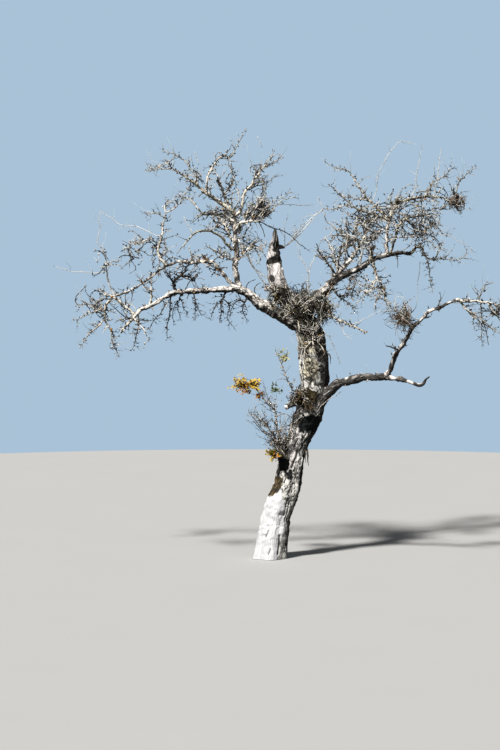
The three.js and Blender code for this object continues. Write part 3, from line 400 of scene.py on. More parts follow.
# Crooked branchlets that cross and fill the crown: [what they grow on, middle, radius, number, length]
WEAVES = [
    ["right_upper_arm", (1990, 5130), 430, 30, 520],
    ["right_ring", (2130, 4960), 380, 26, 480],
    ["right_left_arm", (1500, 4960), 360, 24, 470],
    ["right_top_arm", (2420, 5200), 380, 23, 460],
    ["right_ring", (2500, 4880), 340, 19, 430],
    ["right_pale_arm", (1230, 4740), 300, 16, 420],
    ["right_stump", (1540, 4740), 260, 12, 380],
    ["bough_shoot_near", (980, 4480), 260, 10, 360],
    ["right_droop", (1650, 4080), 330, 16, 420],
    ["mid_left_riser", (-1650, 4470), 260, 12, 360],
    ["mid_left_riser", (-1950, 4600), 260, 9, 360],
    ["mid_left_riser", (-2050, 4430), 220, 10, 330],
    ["second_bough", (-1050, 4470), 190, 11, 300],
    ["second_bough", (-770, 4370), 200, 10, 300],
    ["left_dark_tuft", (-1280, 4340), 280, 12, 380],
    ["left_far_riser", (-2450, 4420), 230, 9, 330],
    ["left_hook", (-2640, 3880), 330, 16, 380],
    ["left_end", (-2250, 3830), 330, 12, 380],
    ["riser_right_twigs", (-240, 4640), 300, 13, 380],
    ["riser_left_twigs", (-560, 4600), 260, 9, 360],
    ["crown_under", (-640, 5080), 300, 10, 380],
    ["crown_middle", (-560, 5560), 300, 10, 380],
    ["crown_right", (-130, 5640), 300, 9, 380],
    ["crown_left", (-1020, 5560), 300, 10, 360],
    ["back_crown", (1500, 5050), 420, 26, 460],
    ["back_shoot", (1350, 4900), 380, 21, 420],
    ["back_droop", (1300, 4200), 360, 18, 420],
    ["crown_back", (-700, 5200), 420, 21, 460],
    ["low_tip", (3350, 3700), 260, 12, 340],
]

# Sheaves of thin shoots: [mass, line, share, shoots, length, radius, bearing, rise, spread]
SHEAVES = [
    ["trunk_sprout", 0, 0.55, 20, 560, 4.4, 215, 58, 32],
    ["trunk_sprout", 0, 0.95, 20, 640, 4.2, 190, 62, 34],
    ["trunk_sprout", 0, 0.8, 16, 540, 4.2, 330, 74, 26],
    ["trunk_sprout", 1, 0.5, 12, 380, 3.6, 195, 45, 40],
    ["trunk_sprout", 2, 0.45, 10, 420, 3.6, 190, 60, 40],
    ["spar_shoots", 0, 0.3, 5, 480, 3.0, 20, 60, 22],
    ["broken_low_shoot", 0, 0.4, 5, 420, 2.6, 315, 20, 50],
    ["right_droop", 0, 0.5, 6, 430, 2.8, 250, -50, 40],
]

# Single twigs that stand out: [what they grow on, colours, radius, places from root to tip]
LONE_TWIGS = [
    ["trunk", "shoots", 6, (0, 4650), (-110, 4740), (-218, 4905)],
    ["crown_left", "shoots", 5, (-1057, 5880), (-1080, 5980), (-1117, 6075)],
    ["crown_right", "shoots", 5, (-112, 6150), (-140, 6240), (-172, 6315)],
    ["arched_branch", "shoots", 6, (-1128, 4867), (-1200, 5000), (-1282, 5130)],
    ["crown_under", "shoots", 5, (-742, 5025), (-775, 5130), (-817, 5235)],
    ["thicket_right", "shoots", 5, (802, 3435), (930, 3230), (1057, 2925)],
    ["right_end", "shoots", 5, (2300, 4400), (2290, 4200), (2245, 3720)],
    ["right_ring", "shoots", 5, (2700, 4830), (2860, 4750), (3043, 4635)],
    ["broom_top", "spurs", 5, (-40, 5270), (250, 5290), (650, 5290)],
    ["left_bough", "dark", 8, (-345, 4000), (-330, 4120), (-220, 4190)],
    ["left_bough", "dark", 8, (-205, 3950), (-215, 4090), (-140, 4150)],
    ["left_bough", "dark", 8, (-640, 4080), (-700, 3900), (-680, 3700)],
    ["left_bough", "dark", 7, (-480, 4060), (-420, 3860), (-330, 3700)],
    ["left_riser", "shoots", 14, (-462, 4785), (-352, 4565), (-256, 4407), (-147, 4218), (-37, 4090)],
    ["left_riser", "dark", 10, (-399, 4785), (-352, 4896), (-288, 4990), (-250, 5090)],
    ["left_riser", "dark", 8, (-400, 4760), (-273, 4707), (-140, 4640), (-67, 4501)],
    ["broom_top", "dark", 8, (-178, 5070), (-123, 4944), (-75, 4818)],
    ["left_riser", "shoots", 8, (-150, 4740), (-130, 4675), (-91, 4565)],
    ["right_bough", "spurs", 13, (990, 4250), (847, 4440), (753, 4581), (700, 4700)],
    ["right_bough", "dark", 12, (1006, 4249), (1038, 4501), (1069, 4690)],
    ["right_bough", "spurs", 9, (1100, 4330), (930, 4420), (820, 4400)],
    ["low_tip", "shoots", 13, (2797, 3820), (2980, 3700), (3167, 3564), (3382, 3411)],
    ["low_tip", "dark", 9, (3090, 3620), (3150, 3480), (3190, 3250)],
    ["low_bough", "shoots", 8, (680, -120, 2170), (760, -190, 2300), (915, -200, 2430), (1057, -130, 2505)],
    ["low_bough", "shoots", 7, (760, -110, 2420), (850, -170, 2510), (967, -170, 2588), (1070, -120, 2615)],
    ["second_bough", "dark", 10, (-1080, 4270), (-1180, 4180), (-1240, 4060), (-1300, 3960)],
    ["trunk", "dark", 14, (425, -110, 3000), (445, -170, 3120), (505, -230, 3210), (575, -265, 3300),
     (640, -280, 3350)],
    ["trunk", "dark", 11, (490, -220, 3170), (530, -240, 3120), (595, -260, 3060)],
    ["trunk", "shoots", 9, (352, -150, 1816), (361, -165, 1893), (378, -175, 1962), (395, -185, 2049),
     (361, -190, 2109), (94, -200, 2238)],
    ["trunk", "shoots", 8, (395, -185, 2049), (430, -215, 2095), (482, -235, 2152)],
    ["trunk_sprout", "shoots", 9, (247, 1599), (112, 1779), (0, 1890), (-90, 1957), (-217, 2092),
     (-315, 2205)],
    ["trunk_sprout", "dark", 10, (225, 1588), (92, 1765), (-18, 1875), (-108, 1940), (-232, 2077)],
]

# How far the painted light is weaker on some branches, so that their bark is darker than that of the others
BRANCH_SHADE = {
    "arched_branch": 0.6, "left_hook": 0.4, "crown_middle": 0.35, "crown_left": 0.35, "crown_under": 0.35,
    "crown_right": 0.2, "right_left_arm": 0.5, "right_upper_arm": 0.5, "right_droop": 0.5, "right_ring": 0.45,
    "right_stump": 0.55, "right_end": 0.45, "right_top_arm": 0.5, "bough_shoot_near": 0.4,
    "bough_shoot_mid": 0.4, "riser_left_twigs": 0.4, "low_broom": 0.4, "low_tip": 0.25,
    "broken_low_shoot": 0.5, "trunk_sprout": 0.45,
}

# How the twigs of a kind are shared among its colours
TINTS = {
    "twigs": (("twig_pale", 0.42), ("twig", 0.18), ("twig_dark", 0.40)),
    "dark": (("twig_dark", 0.62), ("spur", 0.26), ("twig", 0.12)),
    "spurs": (("spur", 0.54), ("twig_pale", 0.28), ("twig", 0.09), ("spur_orange", 0.09)),
    "shoots": (("shoot", 0.62), ("twig_pale", 0.24), ("spur", 0.14)),
    "thicket": (("twig_dark", 0.54), ("moss_tuft", 0.20), ("twig_pale", 0.26)),
    "broom": (("twig_dark", 0.40), ("tangle", 0.14), ("twig_pale", 0.46)),
    "red": (("twig_red", 0.24), ("twig_dark", 0.34), ("tangle", 0.14), ("twig_pale", 0.28)),
    "mossy": (("moss_tuft", 0.32), ("twig_dark", 0.34), ("twig_red", 0.12), ("twig_pale", 0.22)),
    "nest": (("twig_dark", 0.66), ("tangle", 0.22), ("twig_pale", 0.12)),
    "orange": (("spur_orange", 0.45), ("twig_dark", 0.30), ("twig_pale", 0.25)),
}

# Leaves left on the shoots of the trunk: [mass, middle, radius, twigs, leaves, colour]
LEAF_SPRAYS = [
    ["trunk_sprout", (-480, 2660), 115, 30, 200, "yellow"],
    ["trunk_sprout", (-285, 2670), 115, 30, 190, "yellow"],
    ["trunk_sprout", (-380, 2590), 140, 14, 60, "orange"],
    ["trunk_sprout", (-130, 2485), 75, 10, 40, "orange"],
    ["trunk_sprout", (40, 1590), 95, 14, 60, "olive"],
    ["trunk_sprout", (60, 1560), 100, 8, 34, "orange"],
    ["trunk_sprout", (20, 1600), 80, 8, 40, "yellow"],
    ["trunk_sprout", (105, 2580), 80, 12, 50, "green"],
    ["trunk_sprig", (215, 3090), 90, 14, 70, "pale_green"],
]

# Patches of the trunk's surface, by kind: [height, bearing, half height, half width in degrees, strength]
# The shade patches are painted shade on the side away from the light and below the boughs, the hollow patches
# are also painted dark as shade inside their recesses, and the spar's weathered patches are dark wood and
# painted shade
TRUNK_PATCHES = {
    "bare": [[4270, 275, 180, 95, 1], [4720, 215, 380, 66, 1], [4060, 200, 60, 50, 0.7],
        [1940, 222, 160, 14, 1], [1740, 250, 230, 28, 0.85], [1500, 268, 190, 30, 0.75]],
    "brown": [[1085, 214, 135, 30, 1], [930, 200, 170, 20, 1], [790, 188, 150, 14, 0.8]],
    "hollow": [[2060, 300, 118, 66, 1], [2000, 258, 120, 22, 1], [1410, 214, 118, 36, 1],
        [1280, 266, 72, 16, 1]],
    "lichen": [[3300, 262, 260, 40, 0.9], [2850, 255, 240, 36, 0.8], [3650, 290, 160, 45, 0.8],
        [1700, 150, 400, 50, 0.6]],
    "moss": [[2430, 258, 120, 46, 1], [2320, 240, 70, 26, 0.9], [1560, 215, 90, 50, 0.8],
        [3900, 300, 120, 60, 0.6], [3500, 120, 300, 60, 0.6]],
    "shade": [[2060, 212, 170, 32, 1], [2232, 250, 60, 38, 0.9], [3050, 348, 900, 66, 1],
        [2420, 334, 150, 52, 1], [1950, 348, 360, 50, 1], [2690, 250, 34, 28, 1],
        [2640, 286, 30, 22, 0.8], [2290, 286, 100, 36, 0.75], [1250, 358, 520, 34, 1],
        [420, 0, 520, 26, 0.9]],
    "weathered": [[4710, 340, 270, 76, 1], [4435, 222, 44, 42, 1], [4462, 285, 58, 64, 1],
        [4215, 240, 48, 20, 0.9], [4330, 220, 50, 24, 0.6], [4150, 305, 120, 14, 0.7]],
    "worn": [[190, 318, 270, 24, 1]],
}

# The kinds of patch that end sharply, and from which share of its size on a patch fades, and ends
SHARP_PATCHES = ("hollow", "weathered", "brown")
SHARP_EDGE = 0.95
SOFT_EDGE = 0.78
PATCH_END = 1.12

# How high the whitewash reaches on the trunk: [bearing, height]
WHITEWASH = [
    [0, 0], [25, 60], [45, 560], [90, 760], [150, 820], [195, 840], [222, 900], [240, 1030], [250, 1010],
    [262, 960], [286, 840], [314, 700], [324, 560], [331, 200], [337, 0], [360, 0],
]

# Splits in the wood of the trunk: [height, bearing, height, bearing, half width, depth]
TRUNK_SPLITS = [
    [330, 240, 420, 246, 10, 16], [80, 298, 370, 297, 13, 24], [1390, 268, 1630, 284, 20, 36],
    [1650, 256, 1800, 262, 12, 20], [1620, 300, 1850, 306, 14, 24], [1450, 312, 1600, 300, 12, 20],
    [90, 262, 170, 266, 9, 12], [500, 318, 900, 300, 9, 14], [700, 296, 1250, 276, 8, 12],
    [1150, 250, 1320, 244, 9, 16],
]


def rounded(value):
    return math.floor(value + 0.5)


def draws_from(seed):
    """Seeded draws between 0 and 1"""
    state = seed & MASK

    def draw():
        nonlocal state
        state = (state + 0x6D2B79F5) & MASK
        mixed = ((state ^ (state >> 15)) * (1 | state)) & MASK
        mixed = (mixed + (mixed ^ (mixed >> 7)) * (61 | mixed)) & MASK ^ mixed
        return (mixed ^ (mixed >> 14)) / (MASK + 1)

    return draw


def any_way(draw):
    """A vector that points any way, up to half a unit along each axis"""
    return Vector((draw() - 0.5, draw() - 0.5, draw() - 0.5))


def heading_of(bearing, rise):
    turn, lift = math.radians(bearing), math.radians(rise)
    return Vector((math.cos(lift) * math.cos(turn), math.cos(lift) * math.sin(turn), math.sin(lift)))


def across_of(heading):
    """A level direction across a heading, and the one square to both"""
    level = heading.cross(Vector((0, 0, 1)) if abs(heading.z) < 0.98 else Vector((1, 0, 0))).normalized()
    return level, level.cross(heading)


def size_along(sizes, share):
    """Radius part of the way along, straight from each listed size to the next"""
    return float(np.interp(share * (len(sizes) - 1), range(len(sizes)), sizes))


def smooth_points(points, shares):
    """Points of the centripetal curve through a list of points, at shares of its pieces"""
    held = np.array([2 * points[0] - points[1], *points, 2 * points[-1] - points[-2]], float)
    step = np.clip(np.asarray(shares, float), 0, 1) * (len(points) - 1)
    k = np.minimum(step.astype(int), len(points) - 2)
    w = (step - k)[:, None]
    p0, p1, p2, p3 = (held[k + i] for i in range(4))
    d0, d1, d2 = (np.maximum(np.linalg.norm(b - a, axis=1), 1e-6)[:, None] ** 0.5
                  for a, b in ((p0, p1), (p1, p2), (p2, p3)))
    out = ((p1 - p0) / d0 - (p2 - p0) / (d0 + d1) + (p2 - p1) / d1) * d1
    into = ((p2 - p1) / d1 - (p3 - p1) / (d1 + d2) + (p3 - p2) / d2) * d1
    return p1 + out * w + (3 * (p2 - p1) - 2 * out - into) * w ** 2 + (2 * (p1 - p2) + out + into) * w ** 3


class Line:
    """The middle line of a limb or twig in short straight pieces, with its radius at each joint"""

    def __init__(self, points, radii):
        self.points = points
        self.radii = radii
        self.length = sum((b - a).length for a, b in zip(points, points[1:]))

    def place(self, share):
        """Point, heading and radius at a share of the pieces"""
        step = min(max(share, 0), 1) * (len(self.points) - 1)
        k = min(int(step), len(self.points) - 2)
        a, b = self.points[k], self.points[k + 1]
        radius = self.radii[k] + (step - k) * (self.radii[k + 1] - self.radii[k])
        return a.lerp(b, step - k), (b - a).normalized(), radius


def walk_points(start, walk, seed, crook=CROOK, piece=PIECE):
    """The joints of a walk's pieces, each swayed a little to one side, and where its steps end"""
    draw = draws_from(seed)
    points, marks = [Vector(start)], [0]
    for length, bearing, rise in walk:
        origin = points[-1]
        heading = heading_of(bearing, rise)
        level, over = across_of(heading)
        pieces = max(1, rounded(length / piece))
        for k in range(1, pieces + 1):
            sway = crook * length * MM / pieces if k < pieces else 0
            point = origin + heading * (length * MM * k / pieces)
            point += level * (sway * (2 * draw() - 1))
            point += over * (sway * (2 * draw() - 1))
            points.append(point)
        marks.append(len(points) - 1)
    return points, marks


class Route(Line):
    """A limb, stem or arm: a walk smoothed to a curve, cut in pieces of about 35 mm"""

    FINE = 6

    def __init__(self, start, walk, seed, radii, crook=CROOK, piece=PIECE):
        self.joints, self.marks = walk_points(start, walk, seed, crook, piece)
        self.walked = sum(step[0] for step in walk) * MM
        self.sizes = [radius * MM for radius in radii]
        shares = np.linspace(0, 1, (len(self.joints) - 1) * self.FINE + 1)
        points = smooth_points(self.joints, shares)
        super().__init__([Vector(p) for p in points], [size_along(self.sizes, s) for s in shares])

    def parameter(self, share):
        """The curve's own parameter at a share of the walk's steps"""
        step = share * (len(self.marks) - 1)
        k = min(int(step), len(self.marks) - 2)
        return (self.marks[k] + (step - k) * (self.marks[k + 1] - self.marks[k])) / (len(self.joints) - 1)

    def root_at(self, share):
        return self.place(self.parameter(share))[0]


def twigs_along(line, habit, seed, start=0.0, length=None, joints=6, shape=None):
    """Twigs along one line by the growth rule, each crooked once at its knee and thin at its tip"""
    reach_of_line = (length or line.length) * (1 - start)
    count = max(1, rounded(reach_of_line / (habit["spacing"] * MM)))
    lift = habit["lift"]
    crook = habit.get("crook", KNEE_CROOK)
    twigs = []
    for i in range(count):
        draw = draws_from(seed + TWIG_SEED * i)
        share = FIRST_TWIG + (1 - FIRST_TWIG) * (i + 0.2 + 0.6 * draw()) / count
        share = start + (1 - start) * share
        origin, along, thick = line.place(share)
        level, over = across_of(along)
        turn = math.radians(GOLDEN_ANGLE * i + 50 * draw())
        spread = math.radians(habit.get("spread", TWIG_SPREAD) + 34 * draw())
        outward = level * math.cos(turn) + over * math.sin(turn)
        heading = along * math.cos(spread) + outward * math.sin(spread)
        heading.z += lift * (0.4 + 0.6 * draw())
        heading.normalize()
        reach = habit["length"] * MM * (0.45 + 0.9 * draw()) * (1 - 0.4 * share)
        knee = origin + heading * (0.5 * reach)
        first = heading.copy()
        heading.x += crook * (draw() - 0.5)
        heading.y += crook * (draw() - 0.5)
        heading.z += crook * (draw() - 0.5) + 0.5 * lift
        heading.normalize()
        tip = knee + heading * (0.5 * reach)
        radius = min(habit["radius"] * MM, habit.get("limit", TWIG_LIMIT) * thick)
        corners = [origin, origin + first * 0.25 * reach, knee, tip]
        points = [Vector(point) for point in smooth_points(corners, np.linspace(0, 1, joints))]
        radii = [radius * part for part in shape or np.linspace(1.2, 0.3, joints)]
        twigs.append(Line(points, radii))
    return [twig for twig in twigs if in_reach(twig)]


def in_reach(line):
    """Whether a line's middle and its tip stay within the box of the solids, and its tip off the ground"""
    tip = line.points[-1]
    inside = all(CAD_LOW[i] - REACH_MARGIN <= point[i] <= CAD_HIGH[i] + REACH_MARGIN
                 for point in (tip, line.points[len(line.points) // 2]) for i in range(3))
    return inside and tip.z > LOWEST_TWIG


def tapered(points, radius, first, taper):
    """A line whose radius starts at a share of its own and falls by the same share at each joint"""
    return Line(points, [radius * (first - taper * k) for k in range(len(points))])


def depth_near(lines, place):
    """How far back the lines lie where they pass nearest to a place seen from the front, in millimetres"""
    x, z = place[0] * MM, place[-1] * MM
    spots = [point for line in lines for point in line.points]
    return min(spots, key=lambda point: (point.x - x) ** 2 + (point.z - z) ** 2).y / MM


def set_back(place, depth):
    """A place as a point in metres, at a depth where it has none of its own"""
    x, *y, z = place
    return Vector((x, *(y or [depth]), z)) * MM


def grown_on(name):
    """The lines of a mass, or the line of a limb"""
    limbs, masses = routes()
    return masses[name] if name in masses else [limbs[name]]


# Tangled twigs: pieces, how far each keeps its heading, strays and is drawn to the middle, and the taper
TANGLE_PIECES = 6
TANGLE_KEEPS = 1.1
TANGLE_STRAYS = 0.9
TANGLE_PULL = 0.5
TANGLE_TAPER = 0.09


def tangle(name, place, radius, count, length, thick, lean, seed):
    """A ball of twigs that wander from what they grow on and are held near the ball's middle"""
    lines = grown_on(name)
    centre = set_back(place, depth_near(lines, place))
    ball = radius * MM
    draw = draws_from(seed)

    def away_from(line):
        return min((point - centre).length for point in line.points)

    nearest = sorted(lines, key=away_from)
    near = [line for line in nearest if away_from(line) < ball] or nearest[:1]
    twigs = []
    for _ in range(count):
        origin = near[int(draw() * len(near))].place(draw())[0]
        if (origin - centre).length > ball:
            origin = centre + (origin - centre).normalized() * ball * draw() ** 0.5
        if draw() < 0.5:
            origin = centre.lerp(origin, draw())
        heading = (Vector((2 * draw() - 1, 2 * draw() - 1, 2 * draw() - 1)) + Vector(lean)).normalized()
        points = [origin]
        step = length * MM * (0.5 + 0.8 * draw()) / TANGLE_PIECES
        for _ in range(TANGLE_PIECES):
            away = points[-1] - centre
            pull = (away.length / ball) ** 2
            heading = heading * TANGLE_KEEPS + any_way(draw) * TANGLE_STRAYS
            heading -= away.normalized() * pull * TANGLE_PULL
            heading.normalize()
            points.append(points[-1] + heading * step)
        twigs.append(tapered(points, thick * MM * (0.6 + 0.8 * draw()), 1, TANGLE_TAPER))
    return [twig for twig in twigs if in_reach(twig)]


# Shoots of a sheaf: pieces, share of the line that they leave, lean for each degree of spread, how far each
# piece strays and turns up, and the taper
SHOOT_PIECES = 7
SHEAF_WIDTH = 0.12
LEAN_PER_DEGREE = 0.035
SHOOT_STRAYS = 0.28
SHOOT_RISE = 0.03
SHOOT_TAPER = 0.11


def sheaf(line, share, count, length, radius, bearing, rise, spread, seed):
    """Thin shoots that leave one place of a line together and lean apart"""
    draw = draws_from(seed)
    shoots = []
    for _ in range(count):
        origin = line.place(share + SHEAF_WIDTH * (draw() - 0.5))[0]
        heading = heading_of(bearing, rise) + any_way(draw) * spread * LEAN_PER_DEGREE
        heading.normalize()
        reach = length * MM * (0.45 + 0.75 * draw())
        points = [origin]
        for _ in range(SHOOT_PIECES):
            heading += any_way(draw) * SHOOT_STRAYS + Vector((0, 0, SHOOT_RISE))
            heading.normalize()
            points.append(points[-1] + heading * reach / SHOOT_PIECES)
        shoots.append(tapered(points, radius * MM, 1.1, SHOOT_TAPER))
    return [shoot for shoot in shoots if in_reach(shoot)]


@lru_cache(maxsize=None)
def routes():
    """The trunk's route, the limbs' and each mass's stem and arms, where the solids have them"""
    trunk_radii = [TRUNK_FOOT_RADIUS, *(step[3] for step in TRUNK_WALK)]
    found = {"trunk": Route((0, 0, 0), [step[:3] for step in TRUNK_WALK], 1, trunk_radii, 0, math.inf)}
    for index, (name, (on, share, radii, walk)) in enumerate(LIMBS.items()):
        found[name] = Route(found[on].root_at(share), walk, LIMB_SEED + index, radii)
    lines = {}
    for index, (name, (on, share, _habit, radii, walk, *arms)) in enumerate(MASSES.items()):
        seed = MASS_SEED * (index + 1)
        stem = Route(found[on].root_at(share), walk, seed, radii)
        lines[name] = [stem]
        for k, (share, root, tip, walk) in enumerate(arms):
            radii = (max(root, THINNEST_ARM), max(tip, THINNEST_TIP))
            lines[name].append(Route(stem.root_at(share), walk, seed + k + 1, radii))
    return found, lines


# Radii of the branchlets that fill the crown and of the twigs that carry leaves
WEAVE_RADIUS = 8
LEAFY_RADIUS = 3


@lru_cache(maxsize=None)
def growth():
    """Every twig and spur of the crown: {kind: {region: lines}}"""
    limbs, masses = routes()
    grown = {kind: {region: [] for region in REGIONS} for kind in ("twigs", "dark", "spurs", "shoots")}
    order = list(MASSES)
    for region, names in REGIONS.items():
        for name in names:
            habit = HABITS[MASSES[name][2]]
            for k, line in enumerate(masses[name]):
                seed = MASS_SEED * (order.index(name) + 1) + LINE_SEED * k
                own = twigs_along(line, habit, seed, length=line.walked)
                dress(line, own, grown, region, seed, style_of(name, k))
    for index, (name, (start, region)) in enumerate(TWIGGY_LIMBS.items()):
        seed = SEEDS["limb twigs"] + LIMB_SEEDS_APART * index
        dress(limbs[name], [], grown, region, seed, "full", start)
    for index, (name, k, *fan) in enumerate(SHEAVES):
        shoots = sheaf(masses[name][k], *fan, SEEDS["sheaves"] + index)
        dress_finely(shoots, grown, region_of(name), SEEDS["sheaf twigs"] + TUFT_SEEDS_APART * index)
    for index, (name, place, radius, count, length) in enumerate(WEAVES):
        woven = tangle(name, place, radius, count, length, WEAVE_RADIUS, (0, 0, 0.2), SEEDS["weaves"] + index)
        dress_finely(woven, grown, region_of(name), SEEDS["weave twigs"] + TUFT_SEEDS_APART * index)
    for index, (name, kind, radius, *places) in enumerate(LONE_TWIGS):
        twig = lone_twig(name, radius, places)
        knobs = twigs_along(twig, BUD, SEEDS["lone knobs"] + index, joints=5, shape=SPUR_SHAPE)
        grown[kind]["fork"].append(twig)
        grown[knobs_of(kind)]["fork"] += knobs
    for index in range(len(LEAF_SPRAYS)):
        grown["twigs"]["low"] += leafy_twigs(index)
    return grown


@lru_cache(maxsize=None)
def leafy_twigs(index):
    """The twigs that carry one spray of leaves"""
    mass, place, radius, count = LEAF_SPRAYS[index][:4]
    seed = SEEDS["leafy twigs"] + index
    return tangle(mass, place, radius, count, 1.3 * radius, LEAFY_RADIUS, (0, 0, 0), seed)


def region_of(name):
    """The side of the crown that a mass or limb belongs to"""
    if name in TWIGGY_LIMBS:
        return TWIGGY_LIMBS[name][1]
    return next(region for region, names in REGIONS.items() if name in names)


def style_of(mass, k):
    """The style of one line of a mass: the line's own, or the mass's, or full"""
    for wanted in ((mass, k), mass):
        for style, lines in LINE_STYLES.items():
            if wanted in lines:
                return style
    return "full"


def knobs_of(kind):
    """The kind that the knobs on a kind of twig are counted with"""
    return "spurs" if kind == "twigs" else kind


def lone_twig(name, radius, places):
    """A twig through places seen from the front, as far back as what it grows on"""
    depth = depth_near(grown_on(name), places[0])
    points = smooth_points([set_back(place, depth) for place in places], np.linspace(0, 1, 9))
    return tapered([Vector(point) for point in points], radius * MM, 1.1, 0.07)


def dress_finely(twigs, grown, region, seed, kind="twigs"):
    """Adds twigs of a kind, with the finest twigs and the knobs on them"""
    grown[kind][region] += twigs
    for i, twig in enumerate(twigs):
        finest = twigs_along(twig, FINEST, seed + 13 * i, joints=3)
        knobs = twigs_along(twig, SMALL_SPUR, seed + 400 + 17 * i, joints=4, shape=KNOB_SHAPE)
        grown[kind][region] += finest
        grown[knobs_of(kind)][region] += knobs


def dress(line, own, grown, region, seed, style, start=0.0):
    """Adds a line's own twigs, and what its style adds to them"""
    kind, habits, knob = STYLES[style]
    for k, habit in enumerate(habits):
        own += twigs_along(line, habit, seed + 31 + 6 * k, start)
    if habits:
        dress_finely(own, grown, region, seed + 1000, kind)
    else:
        grown[kind][region] += own
    grown[knobs_of(kind)][region] += twigs_along(line, knob, seed + 53, start, joints=5, shape=SPUR_SHAPE)
    if style == "full":
        grown["shoots"][region] += twigs_along(line, SHOOT, seed + 71, start)


# Crookedness of the whole tree: [waves per metre, reach in metres, shift], how far apart the three axes are
# in the noise, and the height in metres up to which it grows from none
WAVES = [
    [4, 0.022, 12],
    [12, 0.015, 24],
    [25, 0.006, 2],
]
AXES_APART = (0, 31, 67)
STEADY_FOOT = 0.4


def warp(points):
    """A small crookedness of the whole tree, so that what grows on a limb stays on it"""
    moved = points.astype(float)
    hold = np.clip(points[:, 2] / STEADY_FOOT, 0, 1)
    for scale, reach, shift in WAVES:
        for axis, apart in enumerate(AXES_APART):
            moved[:, axis] += reach * hold * noise_at(points, scale, shift + apart)
    return moved


def unit(vectors):
    """An array of vectors, each brought to length 1"""
    return vectors / np.maximum(np.linalg.norm(vectors, axis=-1, keepdims=True), 1e-9)


def frames_along(middles):
    """Normal and binormal at each joint of lines (lines, joints, 3), carried along without twist"""
    along = np.empty_like(middles)
    along[:, 1:-1] = middles[:, 2:] - middles[:, :-2]
    along[:, 0] = middles[:, 1] - middles[:, 0]
    along[:, -1] = middles[:, -1] - middles[:, -2]
    along = unit(along)
    side = np.where(np.abs(along[:, :1, 2:]) < 0.98, [[[0.0, 0, 1]]], [[[1.0, 0, 0]]])[:, 0]
    normal = np.cross(along[:, 0], side)
    normals = np.empty_like(middles)
    for k in range(middles.shape[1]):
        normal = unit(normal - along[:, k] * np.sum(normal * along[:, k], axis=1, keepdims=True))
        normals[:, k] = normal
    return normals, np.cross(along, normals)


def tubes(lines, sides):
    """Corners and faces of closed tubes round lines, and which line each face belongs to"""
    groups = {}
    for k, line in enumerate(lines):
        groups.setdefault(len(line.points), []).append(k)
    corners, faces, owners, base = [], [], [], 0
    for joints, numbers in sorted(groups.items()):
        group = [lines[k] for k in numbers]
        middles = np.array([line.points for line in group], float)
        middles = warp(middles.reshape(-1, 3)).reshape(middles.shape)
        radii = np.array([line.radii for line in group], float)
        normal, binormal = frames_along(middles)
        turn = np.arange(sides) * 2 * math.pi / sides
        outward = normal[:, :, None] * np.cos(turn)[:, None] + binormal[:, :, None] * np.sin(turn)[:, None]
        rings = middles[:, :, None] + outward * radii[:, :, None, None]
        corners.append(rings.reshape(-1, 3))
        index = base + np.arange(rings[..., 0].size).reshape(len(group), joints, sides)
        after = np.roll(index, -1, axis=2)
        quads = np.stack([index[:, :-1], after[:, :-1], after[:, 1:], index[:, 1:]], -1)
        faces += quads.reshape(-1, 4).tolist()
        faces += index[:, 0, ::-1].tolist() + index[:, -1].tolist()
        owners += [k for k in numbers for _ in range((joints - 1) * sides)] + numbers + numbers
        base += rings[..., 0].size
    return np.concatenate(corners), faces, owners


def new_object(name, data):
    """An object of the scene for a mesh, a light or a camera"""
    made = bpy.data.objects.new(name, data)
    bpy.context.scene.collection.objects.link(made)
    return made


def mesh_object(name, corners, faces, materials, marks=None):
    """A mesh of arrays, with the number of each face's material where it has more than one"""
    mesh = bpy.data.meshes.new(name)
    mesh.from_pydata(corners.tolist(), [], faces)
    mesh.shade_smooth()
    for material in materials:
        mesh.materials.append(material)
    if marks is not None:
        mesh.polygons.foreach_set("material_index", np.asarray(marks, np.int32))
    return new_object(name, mesh)


TWIG_SIDES = 3


def twig_mesh(name, lines, kind, seed):
    """Tubes round lines, each in one of the colours of its kind"""
    look = bpy.context.scene.tree_twigs
    tints, shares = zip(*TINTS[kind])
    materials = [plain_material(tint, tuple(getattr(look, tint))) for tint in tints]
    thicker = [Line(line.points, [r * look.thickness for r in line.radii]) for line in lines]
    corners, faces, owners = tubes(thicker, TWIG_SIDES)
    draw = draws_from(seed)
    tint_of = np.searchsorted(np.cumsum(shares)[:-1], [draw() for _ in lines])
    return mesh_object(name, corners, faces, materials, tint_of[owners])


def finish_piece(piece, nodes=()):
    """Attaches a piece of the tree to the root body, and hides the solids that it stands for"""
    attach(piece, "root")
    if nodes:
        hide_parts(*nodes)


def bent_tube(middles, sides):
    """A closed cylinder to be bent along a line: bmesh, and each corner's ring, turn and way outward"""
    rings = len(middles) - 1
    shape = bmesh.new()
    bmesh.ops.create_cone(shape, cap_ends=True, segments=sides, radius1=1, radius2=1, depth=1)
    uprights = [edge for edge in shape.edges if abs(edge.verts[0].co.z - edge.verts[1].co.z) > 0.5]
    bmesh.ops.subdivide_edges(shape, edges=uprights, cuts=rings - 1, use_grid_fill=True)
    flat = np.array([vert.co for vert in shape.verts])
    ring = np.rint((flat[:, 2] + 0.5) * rings).astype(int)
    turn = np.arctan2(flat[:, 1], flat[:, 0])
    normal, binormal = (part[0] for part in frames_along(np.array(middles)[None]))
    outward = normal[ring] * np.cos(turn)[:, None] + binormal[ring] * np.sin(turn)[:, None]
    return shape, ring, turn, outward


def noise_at(points, scale, shift=0.0):
    """Smooth noise, about -1 to 1, at an array of points"""
    places = (points * scale + shift).tolist()
    return np.array([noise.noise(place) for place in places])


def ridges_at(points, scale, shift=0.0):
    """Narrow valleys between broad plates, 0 in a valley and 1 on a plate"""
    return np.clip(np.abs(noise_at(points, scale, shift)) / 0.16, 0, 1) ** 0.7


def smoothstep(low, high, value):
    """0 at low, 1 at high, and smooth between"""
    t = np.clip((value - low) / (high - low), 0, 1)
    return t * t * (3 - 2 * t)


# The way towards the light, from which the painted highlights and the painted shade on the bark are worked
# out
PAINTED_LIGHT_SIDE = (-0.50, -0.18, 0.85)


